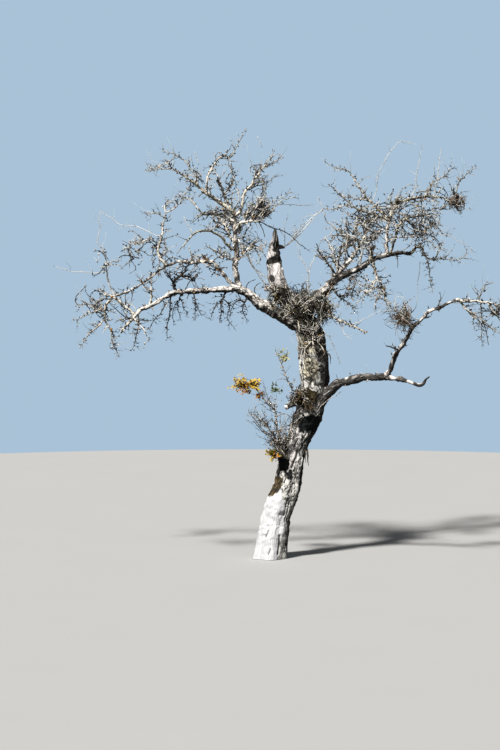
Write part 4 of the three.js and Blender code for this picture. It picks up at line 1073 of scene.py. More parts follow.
def exposure(places, outward):
    """How far a spot faces the light, 0 to 1, with ragged edges: the share of painted light on the bark"""
    ragged = 0.55 * noise_at(places, 9, 5) + 0.45 * noise_at(places, 31, 8)
    return smoothstep(-0.6, 0.6, outward @ np.array(PAINTED_LIGHT_SIDE) + ragged)


def bark_relief(grain, depth, size):
    """Height of rough bark and how deep each spot lies, on a grain that runs along the limb"""
    plates = ridges_at(grain * [1, 1, 0.38], 1 / size, 3.1)
    small = ridges_at(grain * [1, 1, 0.55], 2.3 / size, 9.7)
    lumps = noise_at(grain, 0.35 / size, 5.3)
    rough = noise_at(grain, 5.5 / size, 1.7)
    height = depth * (0.9 * (plates - 1) + 0.4 * (small - 1) + 0.6 * lumps + 0.16 * rough)
    return height, 1 - plates * (0.55 + 0.45 * small)


def turned_apart(a, b):
    """Degrees between two bearings, at most 180"""
    return np.abs((a - b + 180) % 360 - 180)


def add_masks(mesh, masks, grain):
    """Gives a mesh its masks, and the places from which its bark's grain is worked out"""
    for name, values in masks.items():
        mesh.attributes.new(name, "FLOAT", "POINT").data.foreach_set("value", values.astype(np.float32))
    mesh.attributes.new("grain", "FLOAT_VECTOR", "POINT").data.foreach_set(
        "vector", grain.astype(np.float32).ravel())


def shaped_object(name, shape, places, masks, grain, material):
    """A bent tube with its corners brought to their places, its masks and its bark"""
    mesh = bpy.data.meshes.new(name)
    shape.to_mesh(mesh)
    shape.free()
    mesh.vertices.foreach_set("co", warp(places).astype(np.float32).ravel())
    mesh.update()
    add_masks(mesh, masks, grain)
    mesh.shade_smooth()
    mesh.materials.append(material)
    return new_object(name, mesh)


CURVE_SAMPLES = 1500


def even_rings(route, spacing):
    """Shares of a route's curve at even lengths, with the middles there and the distance walked"""
    fine = np.linspace(0, 1, CURVE_SAMPLES)
    points = smooth_points(route.joints, fine)
    walked = np.concatenate([[0], np.cumsum(np.linalg.norm(np.diff(points, axis=0), axis=1))])
    rings = np.linspace(0, walked[-1], max(8, int(walked[-1] / spacing)) + 1)
    shares = np.interp(rings, walked, fine)
    return shares, smooth_points(route.joints, shares), rings


def trunk_radius(share, bearing, height):
    """The trunk's radius with its root flare and its swellings, as in the part's source"""
    sizes = np.array([TRUNK_FOOT_RADIUS, *(step[3] for step in TRUNK_WALK)], float)
    lobes = 0.5 + 0.5 * np.cos(FLARE_LOBES * np.radians(bearing) + 1)
    radius = np.interp(share * (len(sizes) - 1), range(len(sizes)), sizes)
    radius = radius * (1 + FLARE_DEPTH * lobes * np.exp(-height / FLARE_HEIGHT))
    for knot_height, knot_bearing, depth, half in TRUNK_KNOTS:
        turned = radius * (1 - np.cos(np.radians(bearing - knot_bearing)))
        away = np.hypot(height - knot_height, 1.6 * turned)
        radius = radius + depth * np.exp(-((away / half) ** 2))
    for middle, turn, depth, half_height, half_turn in TRUNK_HOLLOWS:
        away = np.hypot((height - middle) / half_height, turned_apart(bearing, turn) / half_turn)
        radius = radius - depth * np.exp(-(away ** 4))
    ribs = 0.5 - 0.5 * np.cos(RIBS * np.radians(bearing))
    return radius * (1 - RIB_SHARE * ribs * (1 - np.exp(-height / RIB_START)))


def trunk_masks(bearing, height, radius, places):
    """Share of each finish and of painted shade on the trunk, and how far splits and hollows lie in"""
    ragged = 0.5 * noise_at(places, 9) + 0.5 * noise_at(places, 28, 4)
    masks = {}
    for kind, patches in TRUNK_PATCHES.items():
        inside = SHARP_EDGE if kind in SHARP_PATCHES else SOFT_EDGE
        masks[kind] = np.zeros(len(height))
        for middle, turn, half_height, half_width, strength in patches:
            away = np.hypot((height - middle) / half_height, turned_apart(bearing, turn) / half_width)
            patch = strength * smoothstep(PATCH_END, inside, away + 0.5 * ragged)
            masks[kind] = np.maximum(masks[kind], patch)
    tops, heights = zip(*WHITEWASH)
    top = np.interp(bearing % 360, tops, heights)
    masks["whitewash"] = smoothstep(-25, 25, top - height + 45 * ragged) * (top > 5)
    split = np.zeros(len(height))
    cut = np.zeros(len(height))
    for low, low_turn, high, high_turn, half, depth in TRUNK_SPLITS:
        t = np.clip((height - low) / (high - low), 0, 1)
        sideways = np.radians(turned_apart(bearing, low_turn + t * (high_turn - low_turn))) * radius
        ends = np.maximum(low - height, 0) + np.maximum(height - high, 0)
        near = np.exp(-(np.hypot(sideways, ends) / half) ** 2)
        split = np.maximum(split, near)
        cut = np.maximum(cut, depth * near)
    masks["split"] = split
    return masks, cut + 22 * masks["hollow"]


# The trunk, in metres: the height up to which its rings turn from level to square across it, where its spar
# begins, and the size of a plate of its bark
LEVEL_HEIGHT = 0.7
SPAR_START = (4.35, 4.6)
BARK_PLATE = 0.055

# In millimetres: the depth of the streaks in bare wood, and the least radius at the tip
STREAK_DEPTH = 7
LEAST_RADIUS = 4


def level_at_foot(outward, walked):
    """Ways out from the trunk, level near the ground so that the foot is cut flat"""
    level = 1 - smoothstep(0, LEVEL_HEIGHT, walked)[:, None]
    return unit(outward * (1 - level) + unit(outward * [1, 1, 0]) * level)


def make_trunk(settings):
    """The trunk with its bark's relief, its hollows and splits, and its peeled spar"""
    shares, middles, walked = even_rings(routes()[0]["trunk"], settings.ring_spacing)
    shape, ring, _turn, outward = bent_tube(middles, settings.trunk_sides)
    outward = level_at_foot(outward, walked[ring])
    bearing = np.degrees(np.arctan2(outward[:, 1], outward[:, 0])) % 360
    height = middles[ring, 2] * 1000
    radius = trunk_radius(shares[ring], bearing, height)
    angle = np.radians(bearing)
    grain = np.stack([np.cos(angle) * radius * MM, np.sin(angle) * radius * MM, walked[ring]], 1)
    masks, inward = trunk_masks(bearing, height, radius, middles[ring] + outward * (radius * MM)[:, None])
    relief, depth = bark_relief(grain, settings.relief * 1000, BARK_PLATE)
    smoothed = 1 - 0.72 * masks["whitewash"] - 0.6 * masks["bare"]
    streaks = 1 - ridges_at(grain * [1, 1, 0.06], 26, 2.2)
    bare = np.maximum(masks["bare"], masks["weathered"])
    radius = radius + relief * smoothed - inward
    radius = radius - STREAK_DEPTH * streaks * np.maximum(bare, 0.6 * masks["whitewash"])
    spar = smoothstep(*SPAR_START, middles[ring, 2])
    radius = radius * (1 + spar * 0.22 * noise_at(grain * [1, 1, 0.15], 24, 8))
    radius = np.maximum(radius, LEAST_RADIUS)
    places = middles[ring] + outward * (radius * MM)[:, None]
    places[ring == 0, 2] = 0
    places[:, 2] = np.maximum(places[:, 2], 0)
    # How deep each spot lies in the fissures and in the streaks of bare wood, which the bark paints dark as
    # shade
    streaked = 0.8 * streaks * np.maximum(bare, 0.5 * masks["whitewash"])
    masks["depth"] = np.clip(depth * smoothed + streaked, 0, 1)
    return shaped_object("bark_trunk", shape, places, masks, grain, trunk_bark())


# Boughs, in metres: length of a facet round them, and the smallest and largest plates of their bark
BOUGH_FACET = 0.0105
PLATE_SIZES = (0.02, 0.07)

# Their fewest and most sides, and how far apart their rings are against the trunk's
BOUGH_SIDES = (18, 72)
BOUGH_SPACING = 1.35

# How far a bough swells where it leaves what it grows on, and from there to where, in radii of that
COLLAR_SWELLING = 0.24
COLLAR_ENDS = (2.1, 0.9)

# How much of the bark is dark on the shaded boughs
LIMB_SHADE = {
    "snag": 1.2, "spike_right": 1.2, "low_riser": 0.8, "low_bough": 0.88, "right_bough": 0.8,
    "left_riser": 0.68, "second_bough": 0.68, "low_stub": 0.82,
}


def make_limb(name, route, settings, parent_radius):
    """A bough with its bark's relief, and with a collar where it leaves what it grows on"""
    shares, middles, walked = even_rings(route, settings.ring_spacing * BOUGH_SPACING)
    sides = int(np.clip(2 * math.pi * max(route.sizes) / BOUGH_FACET, *BOUGH_SIDES))
    shape, ring, turn, outward = bent_tube(middles, sides)
    sizes = np.array([size_along(route.sizes, share) for share in shares])
    radius = sizes[ring]
    length, along = walked[-1], walked[ring]
    bare = name in BARE_LIMBS
    grain = np.stack([np.cos(turn) * radius, np.sin(turn) * radius, along + len(name)], 1)
    relief_depth = np.clip(radius.max() * 0.14, 0.003, settings.relief)
    relief, depth = bark_relief(grain, 1.0, float(np.clip(sizes.mean() * 0.75, *PLATE_SIZES)))
    radius = radius + relief * np.minimum(relief_depth, radius * 0.16)
    radius = radius * (1 + 0.16 * noise_at(grain * [0.4, 0.4, 1], 9, 6))
    collar = smoothstep(COLLAR_ENDS[0] * parent_radius, COLLAR_ENDS[1] * parent_radius, along)
    radius = radius * (1 + COLLAR_SWELLING * collar)
    if bare or name == "snag":
        end = smoothstep(length - 0.03, length - 0.004, along)
        jag = noise_at(grain * [1, 1, 0.1], 60, 3)
        radius = radius * (1 - 0.25 * end * (0.5 + jag))
    places = middles[ring] + outward * radius[:, None]
    upward = outward[:, 2]
    cut_face = (name == "snag") * smoothstep(length - 0.012, length - 0.002, along)
    shaded = noise_at(places, 11, 6) + 1.05 - 1.5 * LIMB_SHADE.get(name, 0)
    shade = smoothstep(0.25, -0.25, shaded) * (1 - cut_face)
    mossy = upward + 0.9 * noise_at(places, 4.5, 12) - 0.45
    # Masks of the bark: how deep each spot lies, for painted shade in its fissures; mottled painted shade on
    # the shaded boughs; how far each spot faces the light, for the painted highlight and painted shade; bare
    # wood, moss and lichen
    masks = {
        "depth": np.clip(depth, 0, 1),
        "shade": shade,
        "exposure": exposure(places, outward),
        "bare": cut_face + 0.6 * bare * (1 - shade),
        "moss": smoothstep(0.1, 0.75, mossy) * (not bare),
        "lichen": smoothstep(0.0, 0.5, noise_at(places, 7, 2) + 0.25 * upward),
    }
    return shaped_object("bark_" + name, shape, places, masks, grain, bough_bark())


def feed(tree, socket, value):
    """Links an input to a socket, or sets it to a number, a vector or a colour"""
    if isinstance(value, bpy.types.NodeSocket):
        tree.links.new(value, socket)
    else:
        socket.default_value = (*value[:3], 1) if socket.type == "RGBA" else value


def add_node(tree, kind, inputs=None, **settings):
    """A node with its settings, and its inputs fed with values or sockets"""
    node = tree.nodes.new(kind)
    for key, value in settings.items():
        setattr(node, key, value)
    for key, value in (inputs or {}).items():
        feed(tree, node.inputs[key], value)
    return node


def blend(tree, share, first, second):
    """The first colour, turned into the second by a share"""
    inputs = {0: share, 6: first, 7: second}
    return add_node(tree, "ShaderNodeMix", inputs, data_type="RGBA", clamp_factor=True).outputs[2]


def calc(tree, operation, *values):
    """The result of a sum on values or sockets"""
    return add_node(tree, "ShaderNodeMath", dict(enumerate(values)), operation=operation).outputs[0]


def times(tree, value, gain):
    """The product of two values"""
    return calc(tree, "MULTIPLY", value, gain)


def weighed_sum(tree, first, gain, second, other_gain):
    """The sum of two values, each with its gain"""
    return calc(tree, "ADD", times(tree, first, gain), times(tree, second, other_gain))


def ramp(tree, value, low, high):
    """The value taken from low to high as 0 to 1, smoothly"""
    inputs = {0: value, 1: low, 2: high}
    return add_node(tree, "ShaderNodeMapRange", inputs, interpolation_type="SMOOTHSTEP").outputs[0]


def attribute(tree, name, output="Fac"):
    """One of a mesh's masks, or its grain"""
    return add_node(tree, "ShaderNodeAttribute", attribute_name=name).outputs[output]


def object_place(tree):
    """Places on a piece in the tree's own frame"""
    return add_node(tree, "ShaderNodeTexCoord").outputs["Object"]


def noise_node(tree, place, scale, detail, roughness):
    inputs = {"Vector": place, "Scale": scale, "Detail": detail, "Roughness": roughness}
    return add_node(tree, "ShaderNodeTexNoise", inputs).outputs[0]


def stretched(tree, place, scale):
    """A vector made longer or shorter along each axis"""
    return add_node(tree, "ShaderNodeMapping", {"Vector": place, "Scale": scale}).outputs[0]


def new_group(name, vector, settings, outputs):
    """A shader node group with a vector, number settings and number outputs, and its two ends"""
    group = bpy.data.node_groups.new(name, "ShaderNodeTree")
    group.interface.new_socket(vector, in_out="INPUT", socket_type="NodeSocketVector")
    for socket, value in settings.items():
        made = group.interface.new_socket(socket, in_out="INPUT", socket_type="NodeSocketFloat")
        made.default_value = value
    for socket in outputs:
        group.interface.new_socket(socket, in_out="OUTPUT", socket_type="NodeSocketFloat")
    return group, group.nodes.new("NodeGroupInput").outputs, group.nodes.new("NodeGroupOutput").inputs


def scaled(tree, vector, scale):
    """A vector times a scale"""
    return add_node(tree, "ShaderNodeVectorMath", {0: vector, 3: scale}, operation="SCALE").outputs[0]


@lru_cache(maxsize=None)
def bark_group():
    """Fissured bark: how light its plates are, its narrow cracks with painted shade where the relief lies
    deep, and its height
    """
    group, given, wanted = new_group(
        "fissured bark", "Grain", {"Depth": 0.0, "Scale": 1.0}, ("Tone", "Crack", "Height"))
    along = stretched(group, scaled(group, given["Grain"], given["Scale"]), (1, 1, 0.35))
    plates = noise_node(group, along, 16, 6, 0.66)
    fine = noise_node(group, along, 90, 4, 0.7)
    cells = add_node(group, "ShaderNodeTexVoronoi", {"Vector": along, "Scale": 17.0, "Randomness": 1.0},
                     feature="DISTANCE_TO_EDGE").outputs["Distance"]
    edges = times(group, ramp(group, cells, 0.15, 0.03), ramp(group, plates, 0.62, 0.44))
    # Painted shade where the relief lies deep, with the dark lines between the plates
    deep = ramp(group, given["Depth"], 0.28, 0.75)
    crack = calc(group, "MAXIMUM", times(group, edges, 0.9), deep)
    tone = weighed_sum(group, plates, 0.62, fine, 0.38)
    feed(group, wanted["Tone"], ramp(group, tone, 0.38, 0.54))
    feed(group, wanted["Crack"], crack)
    feed(group, wanted["Height"], calc(group, "SUBTRACT", tone, times(group, crack, 0.6)))
    return group


@lru_cache(maxsize=None)
def crust_group():
    """Crusts of lichen or moss: a mask broken up at its edge"""
    group, given, wanted = new_group("crust", "Place", {"Amount": 0.5, "Scale": 1.0}, ("Mask", "Tone"))
    place = scaled(group, given["Place"], given["Scale"])
    broad = noise_node(group, place, 11, 3, 0.6)
    fine = noise_node(group, place, 62, 3, 0.7)
    covered = calc(group, "ADD", weighed_sum(group, broad, 0.6, fine, 0.4), given["Amount"])
    feed(group, wanted["Mask"], ramp(group, calc(group, "SUBTRACT", covered, 1.0), -0.03, 0.07))
    feed(group, wanted["Tone"], ramp(group, fine, 0.36, 0.62))
    return group


@lru_cache(maxsize=None)
def grain_group():
    """Bare wood worn by the weather: long fibres along the limb, and the narrow checks between them"""
    group, given, wanted = new_group("wood grain", "Grain", {}, ("Fibre", "Check"))
    fibres = noise_node(group, stretched(group, given["Grain"], (1, 1, 0.07)), 60, 5, 0.65)
    checks = noise_node(group, stretched(group, given["Grain"], (1, 1, 0.05)), 85, 2, 0.5)
    feed(group, wanted["Fibre"], ramp(group, fibres, 0.3, 0.7))
    feed(group, wanted["Check"], ramp(group, checks, 0.36, 0.30))
    return group


def use_group(tree, group, **inputs):
    """The outputs of a group's node"""
    return add_node(tree, "ShaderNodeGroup", inputs, node_tree=group).outputs


def crusted(tree, colour, amount, scale, dark, light):
    """A colour with crusts of lichen or moss over it"""
    crust = use_group(tree, crust_group(), Place=object_place(tree), Amount=amount, Scale=scale)
    return blend(tree, crust["Mask"], colour, blend(tree, crust["Tone"], dark, light))


def amount_of(tree, mask, gain, least):
    """How much of a crust there is: more of it where the mask is"""
    return calc(tree, "ADD", times(tree, attribute(tree, mask), gain), least)


DULL_SPECULAR = 0.2


def new_material(name, roughness):
    """A dull material, its nodes and its shader"""
    material = bpy.data.materials.new(name)
    material.use_nodes = True
    shader = material.node_tree.nodes["Principled BSDF"]
    shader.inputs["Roughness"].default_value = roughness
    shader.inputs["Specular IOR Level"].default_value = DULL_SPECULAR
    return material, material.node_tree, shader


def set_bump(tree, shader, height, strength, distance):
    """Gives a shader its small relief"""
    inputs = {"Height": height, "Strength": strength, "Distance": distance}
    feed(tree, shader.inputs["Normal"], add_node(tree, "ShaderNodeBump", inputs).outputs[0])


def fissured(name, scale):
    """A dull material, with its fissured bark and its bare wood ready to be blended"""
    material, tree, shader = new_material(name, 0.93)
    grain = attribute(tree, "grain", "Vector")
    bark = use_group(tree, bark_group(), Grain=grain, Depth=attribute(tree, "depth"), Scale=scale)
    wood = use_group(tree, grain_group(), Grain=grain)
    return material, tree, shader, bark, wood


@lru_cache(maxsize=None)
def trunk_bark():
    """Whitewash low down, bare wood on the spar, fissured grey bark with lichen and moss between, and painted
    shade on its side away from the light, below the boughs and in its hollows and splits
    """
    look = bpy.context.scene.tree_bark
    material, tree, shader, bark, wood = fissured("trunk bark", 1.0)
    colour = blend(tree, bark["Tone"], look.bark_dark, look.bark_light)
    lichen, moss = amount_of(tree, "lichen", 0.34, 0.36), amount_of(tree, "moss", 0.75, 0.1)
    colour = crusted(tree, colour, lichen, 1.3, look.lichen_dark, look.lichen_light)
    colour = crusted(tree, colour, moss, 1.7, look.moss_dark, look.moss_light)
    rot = blend(tree, bark["Tone"], look.rot_dark, look.rot_light)
    colour = blend(tree, attribute(tree, "brown"), colour, rot)
    colour = blend(tree, bark["Crack"], colour, look.crevice)
    bare = blend(tree, wood["Fibre"], look.wood_dark, look.wood_light)
    bare = blend(tree, wood["Check"], bare, look.crevice)
    colour = blend(tree, attribute(tree, "bare"), colour, bare)
    # Dark weathered wood on the spar, partly painted shade
    grey = blend(tree, wood["Fibre"], look.crevice, look.weathered)
    colour = blend(tree, attribute(tree, "weathered"), colour, grey)
    washed = attribute(tree, "whitewash")
    lime = blend(tree, wood["Fibre"], look.whitewash_worn, look.whitewash)
    lime = blend(tree, times(tree, wood["Check"], 0.55), lime, look.bark_light)
    worn = times(tree, attribute(tree, "worn"), ramp(tree, bark["Tone"], 0.1, 0.6))
    colour = blend(tree, times(tree, washed, calc(tree, "SUBTRACT", 1.0, worn)), colour, lime)
    # Painted shade on the trunk's shade patches: its side away from the light and below the boughs
    painted_shade = blend(tree, bark["Tone"], look.crevice, look.painted_shade)
    colour = blend(tree, times(tree, attribute(tree, "shade"), 0.96), colour, painted_shade)
    # Painted shade inside the hollows and splits
    dark = calc(tree, "MAXIMUM", attribute(tree, "hollow"), attribute(tree, "split"))
    colour = blend(tree, dark, colour, look.hollow)
    rough = times(tree, bark["Height"], calc(tree, "SUBTRACT", 1.0, times(tree, washed, 0.7)))
    height = calc(tree, "ADD", rough, times(tree, wood["Fibre"], 0.25))
    feed(tree, shader.inputs["Base Color"], colour)
    set_bump(tree, shader, height, 0.8, 0.012)
    return material


@lru_cache(maxsize=None)
def bough_bark():
    """Grey bark with dark cracks, lichen and moss, and bare wood where a limb is broken off, with painted
    light on the side that faces the light and painted shade on the side away from it
    """
    look = bpy.context.scene.tree_bark
    material, tree, shader, bark, wood = fissured("bough bark", 1.6)
    colour = blend(tree, bark["Tone"], look.bark_dark, look.bough_light)
    lichen, moss = amount_of(tree, "lichen", 0.22, 0.36), amount_of(tree, "moss", 0.3, 0.2)
    colour = crusted(tree, colour, lichen, 2.0, look.lichen_dark, look.lichen_light)
    colour = crusted(tree, colour, moss, 2.4, look.moss_dark, look.moss_light)
    # How far the bark faces the light, and the painted highlight there
    lit_share = attribute(tree, "exposure")
    colour = blend(tree, times(tree, ramp(tree, lit_share, 0.58, 0.8), 0.85), colour, look.bleached_and_lit)
    colour = blend(tree, times(tree, bark["Crack"], 0.85), colour, look.crevice)
    # Painted shade on the side away from the light, and in the mottled patches of the shaded boughs
    painted_shade = blend(tree, bark["Tone"], look.crevice, look.painted_shade)
    away_from_light = times(tree, ramp(tree, lit_share, 0.54, 0.32), 0.95)
    shade = times(tree, attribute(tree, "shade"), 0.95)
    colour = blend(tree, calc(tree, "MAXIMUM", away_from_light, shade), colour, painted_shade)
    bare = blend(tree, wood["Fibre"], look.wood_dark, look.wood_light)
    bare = blend(tree, wood["Check"], bare, look.crevice)
    colour = blend(tree, attribute(tree, "bare"), colour, bare)
    feed(tree, shader.inputs["Base Color"], colour)
    set_bump(tree, shader, bark["Height"], 0.7, 0.008)
    return material


@lru_cache(maxsize=None)
def branch_bark():
    """Smoother bark of the branches in the crown, mottled with lichen, and painted lighter on the side that
    faces the light
    """
    look = bpy.context.scene.tree_twigs
    bark = bpy.context.scene.tree_bark
    material, tree, shader = new_material("branch bark", 0.92)
    mottling = noise_node(tree, object_place(tree), 26, 5, 0.7)
    # Painted light: the bark is lighter where it faces the light
    light = calc(tree, "ADD", mottling, times(tree, attribute(tree, "exposure"), 0.6))
    tone = ramp(tree, light, 0.74, 0.88)
    colour = blend(tree, tone, look.branch_dark, look.branch_light)
    colour = crusted(tree, colour, 0.5, 3.0, bark.lichen_dark, bark.lichen_light)
    feed(tree, shader.inputs["Base Color"], colour)
    set_bump(tree, shader, tone, 0.5, 0.004)
    return material


@lru_cache(maxsize=None)
def plain_material(name, colour, roughness=0.9):
    """One plain colour, a little lighter and darker from place to place"""
    material, tree, shader = new_material(name, roughness)
    tone = ramp(tree, noise_node(tree, object_place(tree), 5.0, 2, 0.5), 0.3, 0.7)
    darker = tuple(0.78 * part for part in colour)
    feed(tree, shader.inputs["Base Color"], blend(tree, tone, darker, colour))
    return material


LEAF_KINDS = ("yellow", "orange", "olive", "green", "pale_green")

# Half a leaf's width at each share of its length, up one side and down the other, and how far it folds up
LEAF_OUTLINE = ((0, 0), (0.30, 0.26), (0.68, 0.22), (1, 0), (0.68, -0.22), (0.30, -0.26))
LEAF_FOLD = 0.7


def leaf_corners(root, along, across, length, curl):
    """A small leaf folded along its midrib"""
    fold = along.cross(across).normalized()
    return [root + along * (u * length) + across * (v * length)
            + fold * (abs(v) * LEAF_FOLD - curl * u * u) * length for u, v in LEAF_OUTLINE]


def make_leaves(settings):
    """The leaves of all sprays as one mesh, each of two halves along its midrib"""
    corners, faces, marks = [], [], []
    for n, (*_spray, count, colour) in enumerate(LEAF_SPRAYS):
        draw = draws_from(SEEDS["leaves"] + n)
        twigs = leafy_twigs(n)
        for _ in range(count):
            root = twigs[int(draw() * len(twigs))].place(0.1 + 0.9 * draw())[0]
            along = Vector((2 * draw() - 1, 2 * draw() - 1, 1.4 * draw() - 0.9)).normalized()
            across = across_of(along)[0]
            length = settings.leaf_length * (0.6 + 0.7 * draw())
            base = len(corners)
            corners += leaf_corners(root, along, across, length, 0.4 * draw())
            faces += [[base, base + 1, base + 2, base + 3], [base, base + 3, base + 4, base + 5]]
            marks += [LEAF_KINDS.index(colour)] * 2
    materials = [plain_material(kind + " leaf", tuple(getattr(settings, kind)), 0.7) for kind in LEAF_KINDS]
    piece = mesh_object("sprout_leaves", warp(np.array(corners, float)), faces, materials, marks)
    finish_piece(piece)


def colour_prop(name, description, default):
    return FloatVectorProperty(name=name, description=description, default=default, subtype="COLOR",
                               size=3, min=0, max=1)


def size_prop(name, description, default, least, most, unit="LENGTH"):
    return FloatProperty(name=name, description=description, default=default, min=least, max=most, unit=unit)


def share_prop(name, description, default, least, most):
    return size_prop(name, description, default, least, most, "NONE")


def count_prop(name, description, default, least, most):
    return IntProperty(name=name, description=description, default=default, min=least, max=most)


class TreeBark(bpy.types.PropertyGroup):
    """Sizes and colours of the trunk and the boughs"""
    ring_spacing: size_prop("Ring spacing", "Distance between the trunk's rings", 0.009, 0.005, 0.1)
    trunk_sides: count_prop("Trunk sides", "Corners round the trunk", 128, 24, 256)
    relief: size_prop("Bark relief", "Depth of the trunk's fissures", 0.015, 0, 0.05)
    bark_light: colour_prop("Bark, light", "Tops of the bark's plates", (0.82, 0.80, 0.75))
    bark_dark: colour_prop("Bark, dark", "Sides of the bark's plates", (0.20, 0.20, 0.18))
    bough_light: colour_prop("Bough, light", "Sunlit bark of the boughs", (0.78, 0.75, 0.69))
    # The painted highlight on the boughs' side that faces the light
    bleached_and_lit: colour_prop("Bleached bark", "Bark of the boughs on the weather side", (0.96, 0.89, 0.82))
    # The painted shade on the side away from the light, on the shaded boughs and on the trunk's shade patches
    painted_shade: colour_prop("Dark bark", "Bark on the side away from the weather", (0.03, 0.027, 0.024))
    # The dark of the bark's cracks, also used for the painted shade where the relief lies deep
    crevice: colour_prop("Crevices", "Deep in the bark", (0.020, 0.019, 0.017))
    whitewash: colour_prop("Whitewash", "Lime wash low on the trunk", (0.80, 0.80, 0.80))
    whitewash_worn: colour_prop("Worn whitewash", "Lime wash worn thin", (0.52, 0.53, 0.54))
    wood_light: colour_prop("Bare wood, light", "Wood where the bark is gone", (0.95, 0.92, 0.90))
    wood_dark: colour_prop("Bare wood, dark", "Its darker fibres", (0.76, 0.70, 0.66))
    # Dark weathered wood of the spar, partly painted shade
    weathered: colour_prop("Weathered wood", "The dark side of the spar", (0.035, 0.032, 0.028))
    # Painted shade inside the hollows and splits
    hollow: colour_prop("Hollows", "Inside hollows and splits", (0.010, 0.012, 0.012))
    rot_light: colour_prop("Rot, light", "Red-brown rotten wood", (0.125, 0.088, 0.042))
    rot_dark: colour_prop("Rot, dark", "Its darker parts", (0.03, 0.024, 0.013))
    lichen_light: colour_prop("Lichen, light", "Cream crusts", (0.76, 0.71, 0.57))
    lichen_dark: colour_prop("Lichen, dark", "Ochre crusts", (0.36, 0.31, 0.20))
    moss_light: colour_prop("Moss, light", "Tips of the moss", (0.075, 0.056, 0.02))
    moss_dark: colour_prop("Moss, dark", "Deep in the moss", (0.016, 0.014, 0.008))
    splinter: colour_prop("Splinters", "Wood of the splinters on the spar", (0.5, 0.47, 0.41))
    loose: colour_prop("Loose bark", "Strips of bark that hang from the trunk", (0.13, 0.115, 0.09))


class TreeTwigs(bpy.types.PropertyGroup):
    """Colours and thickness of the crown's branches and twigs"""
    thickness: share_prop("Twig thickness", "Thickness of all twigs against the real one", 1.0, 0.3, 3)
    branch_sides: count_prop("Branch sides", "Corners round a branch", 9, 3, 16)
    girth: share_prop("Branch girth", "Thickness of the branches with their bark and lichen", 1.3, 0.5, 3)
    # The branches' bark goes from dark to pale with its mottling and with the painted light where it faces
    # the light
    branch_light: colour_prop("Branch, light", "Pale bark of the branches", (0.74, 0.70, 0.63))
    branch_dark: colour_prop("Branch, dark", "Darker bark of the branches", (0.04, 0.035, 0.03))
    twig: colour_prop("Twigs", "Grey-brown twigs", (0.28, 0.25, 0.21))
    twig_pale: colour_prop("Pale twigs", "Twigs that the sun has bleached", (0.70, 0.67, 0.60))
    twig_dark: colour_prop("Dark twigs", "Twigs with dark bark", (0.035, 0.03, 0.025))
    twig_red: colour_prop("Red-brown twigs", "Twigs of the low broom", (0.24, 0.15, 0.10))
    moss_tuft: colour_prop("Moss tufts", "Olive moss between the twigs", (0.13, 0.10, 0.04))
    spur: colour_prop("Spurs", "Short spurs with their buds", (0.05, 0.042, 0.035))
    spur_orange: colour_prop("Lichened spurs", "Spurs with orange lichen", (0.40, 0.22, 0.05))
    tangle: colour_prop("Tangled twigs", "Twigs of the tangled balls", (0.16, 0.14, 0.11))
    shoot: colour_prop("Shoots", "Pale straight shoots", (0.74, 0.73, 0.69))


class TreeLeaves(bpy.types.PropertyGroup):
    """Size and colours of the few leaves"""
    leaf_length: size_prop("Leaf length", "Length of a full leaf", 0.046, 0.01, 0.1)
    yellow: colour_prop("Yellow leaves", "Turned leaves", (0.62, 0.42, 0.05))
    orange: colour_prop("Orange leaves", "Leaves about to fall", (0.46, 0.20, 0.03))
    olive: colour_prop("Olive leaves", "Leaves that turn", (0.30, 0.28, 0.04))
    green: colour_prop("Green leaves", "Dull green leaves", (0.12, 0.16, 0.06))
    pale_green: colour_prop("Pale leaves", "Pale yellow-green leaves", (0.47, 0.46, 0.24))


class TreeStage(bpy.types.PropertyGroup):
    """The floor and the light"""
    floor_radius: size_prop("Floor radius", "Radius of the pale floor", 17, 5, 300)
    floor: colour_prop("Floor", "Plain pale floor", (0.42, 0.42, 0.41))
    bounce: share_prop("Bounce", "How much of the floor's light reaches the tree", 0.25, 0, 1)
    backdrop: colour_prop("Backdrop", "Plain pale backdrop", (0.40, 0.54, 0.68))
    key: share_prop("Key light", "Strength of the soft main light", 6.0, 0, 50)
    fill: share_prop("Fill light", "Strength of the fill light against the main light", 0.025, 0, 1)
    around: share_prop("Light all round", "Strength of the light from all round", 0.12, 0, 5)


# Splinters: where each joint of one lies along its length, its radius there, and how far it leans out
SPLINTER_JOINTS = (-0.3, 0, 0.35, 0.7, 1)
SPLINTER_SHAPE = (1, 1, 0.8, 0.45, 0.05)
SPLINTER_LEAN = 0.16


def make_splinters(trunk):
    """Splinters that stand round the broken top, rooted in its wood"""
    draw = draws_from(SEEDS["splinters"])
    splinters = []
    for share, bearing, length, radius in SPLINTERS:
        middle, along, thick = trunk.place(trunk.parameter(share))
        outward = heading_of(bearing, 0)
        root = middle + outward * thick * 0.75
        heading = along + outward * SPLINTER_LEAN * draw()
        points = [root + heading * (length * MM * step) for step in SPLINTER_JOINTS]
        splinters.append(Line(points, [radius * MM * part for part in SPLINTER_SHAPE]))
    return tubes(splinters, 5)[:2]


def make_loose_bark(trunk):
    """Strips of bark that start on the trunk's surface and hang from it"""
    heights = [point.z for point in trunk.points]
    strips = []
    for height, bearing, width, walk in LOOSE_BARK:
        share = float(np.interp(height * MM, heights, np.linspace(0, 1, len(heights))))
        middle, _along, thick = trunk.place(share)
        root = middle + heading_of(bearing, 0) * thick * 0.97
        strips.append(Route(root, walk, 5, (width, width, width * 0.3), 0.05, 60))
    return tubes(strips, 4)[:2]


class TREE_OT_trunk(bpy.types.Operator):
    """Build the trunk's bark, its whitewash, hollows and broken spar"""
    bl_idname = "tree.trunk"
    bl_label = "Trunk"

    def execute(self, context):
        finish_piece(make_trunk(context.scene.tree_bark), ("trunk",))
        return {"FINISHED"}


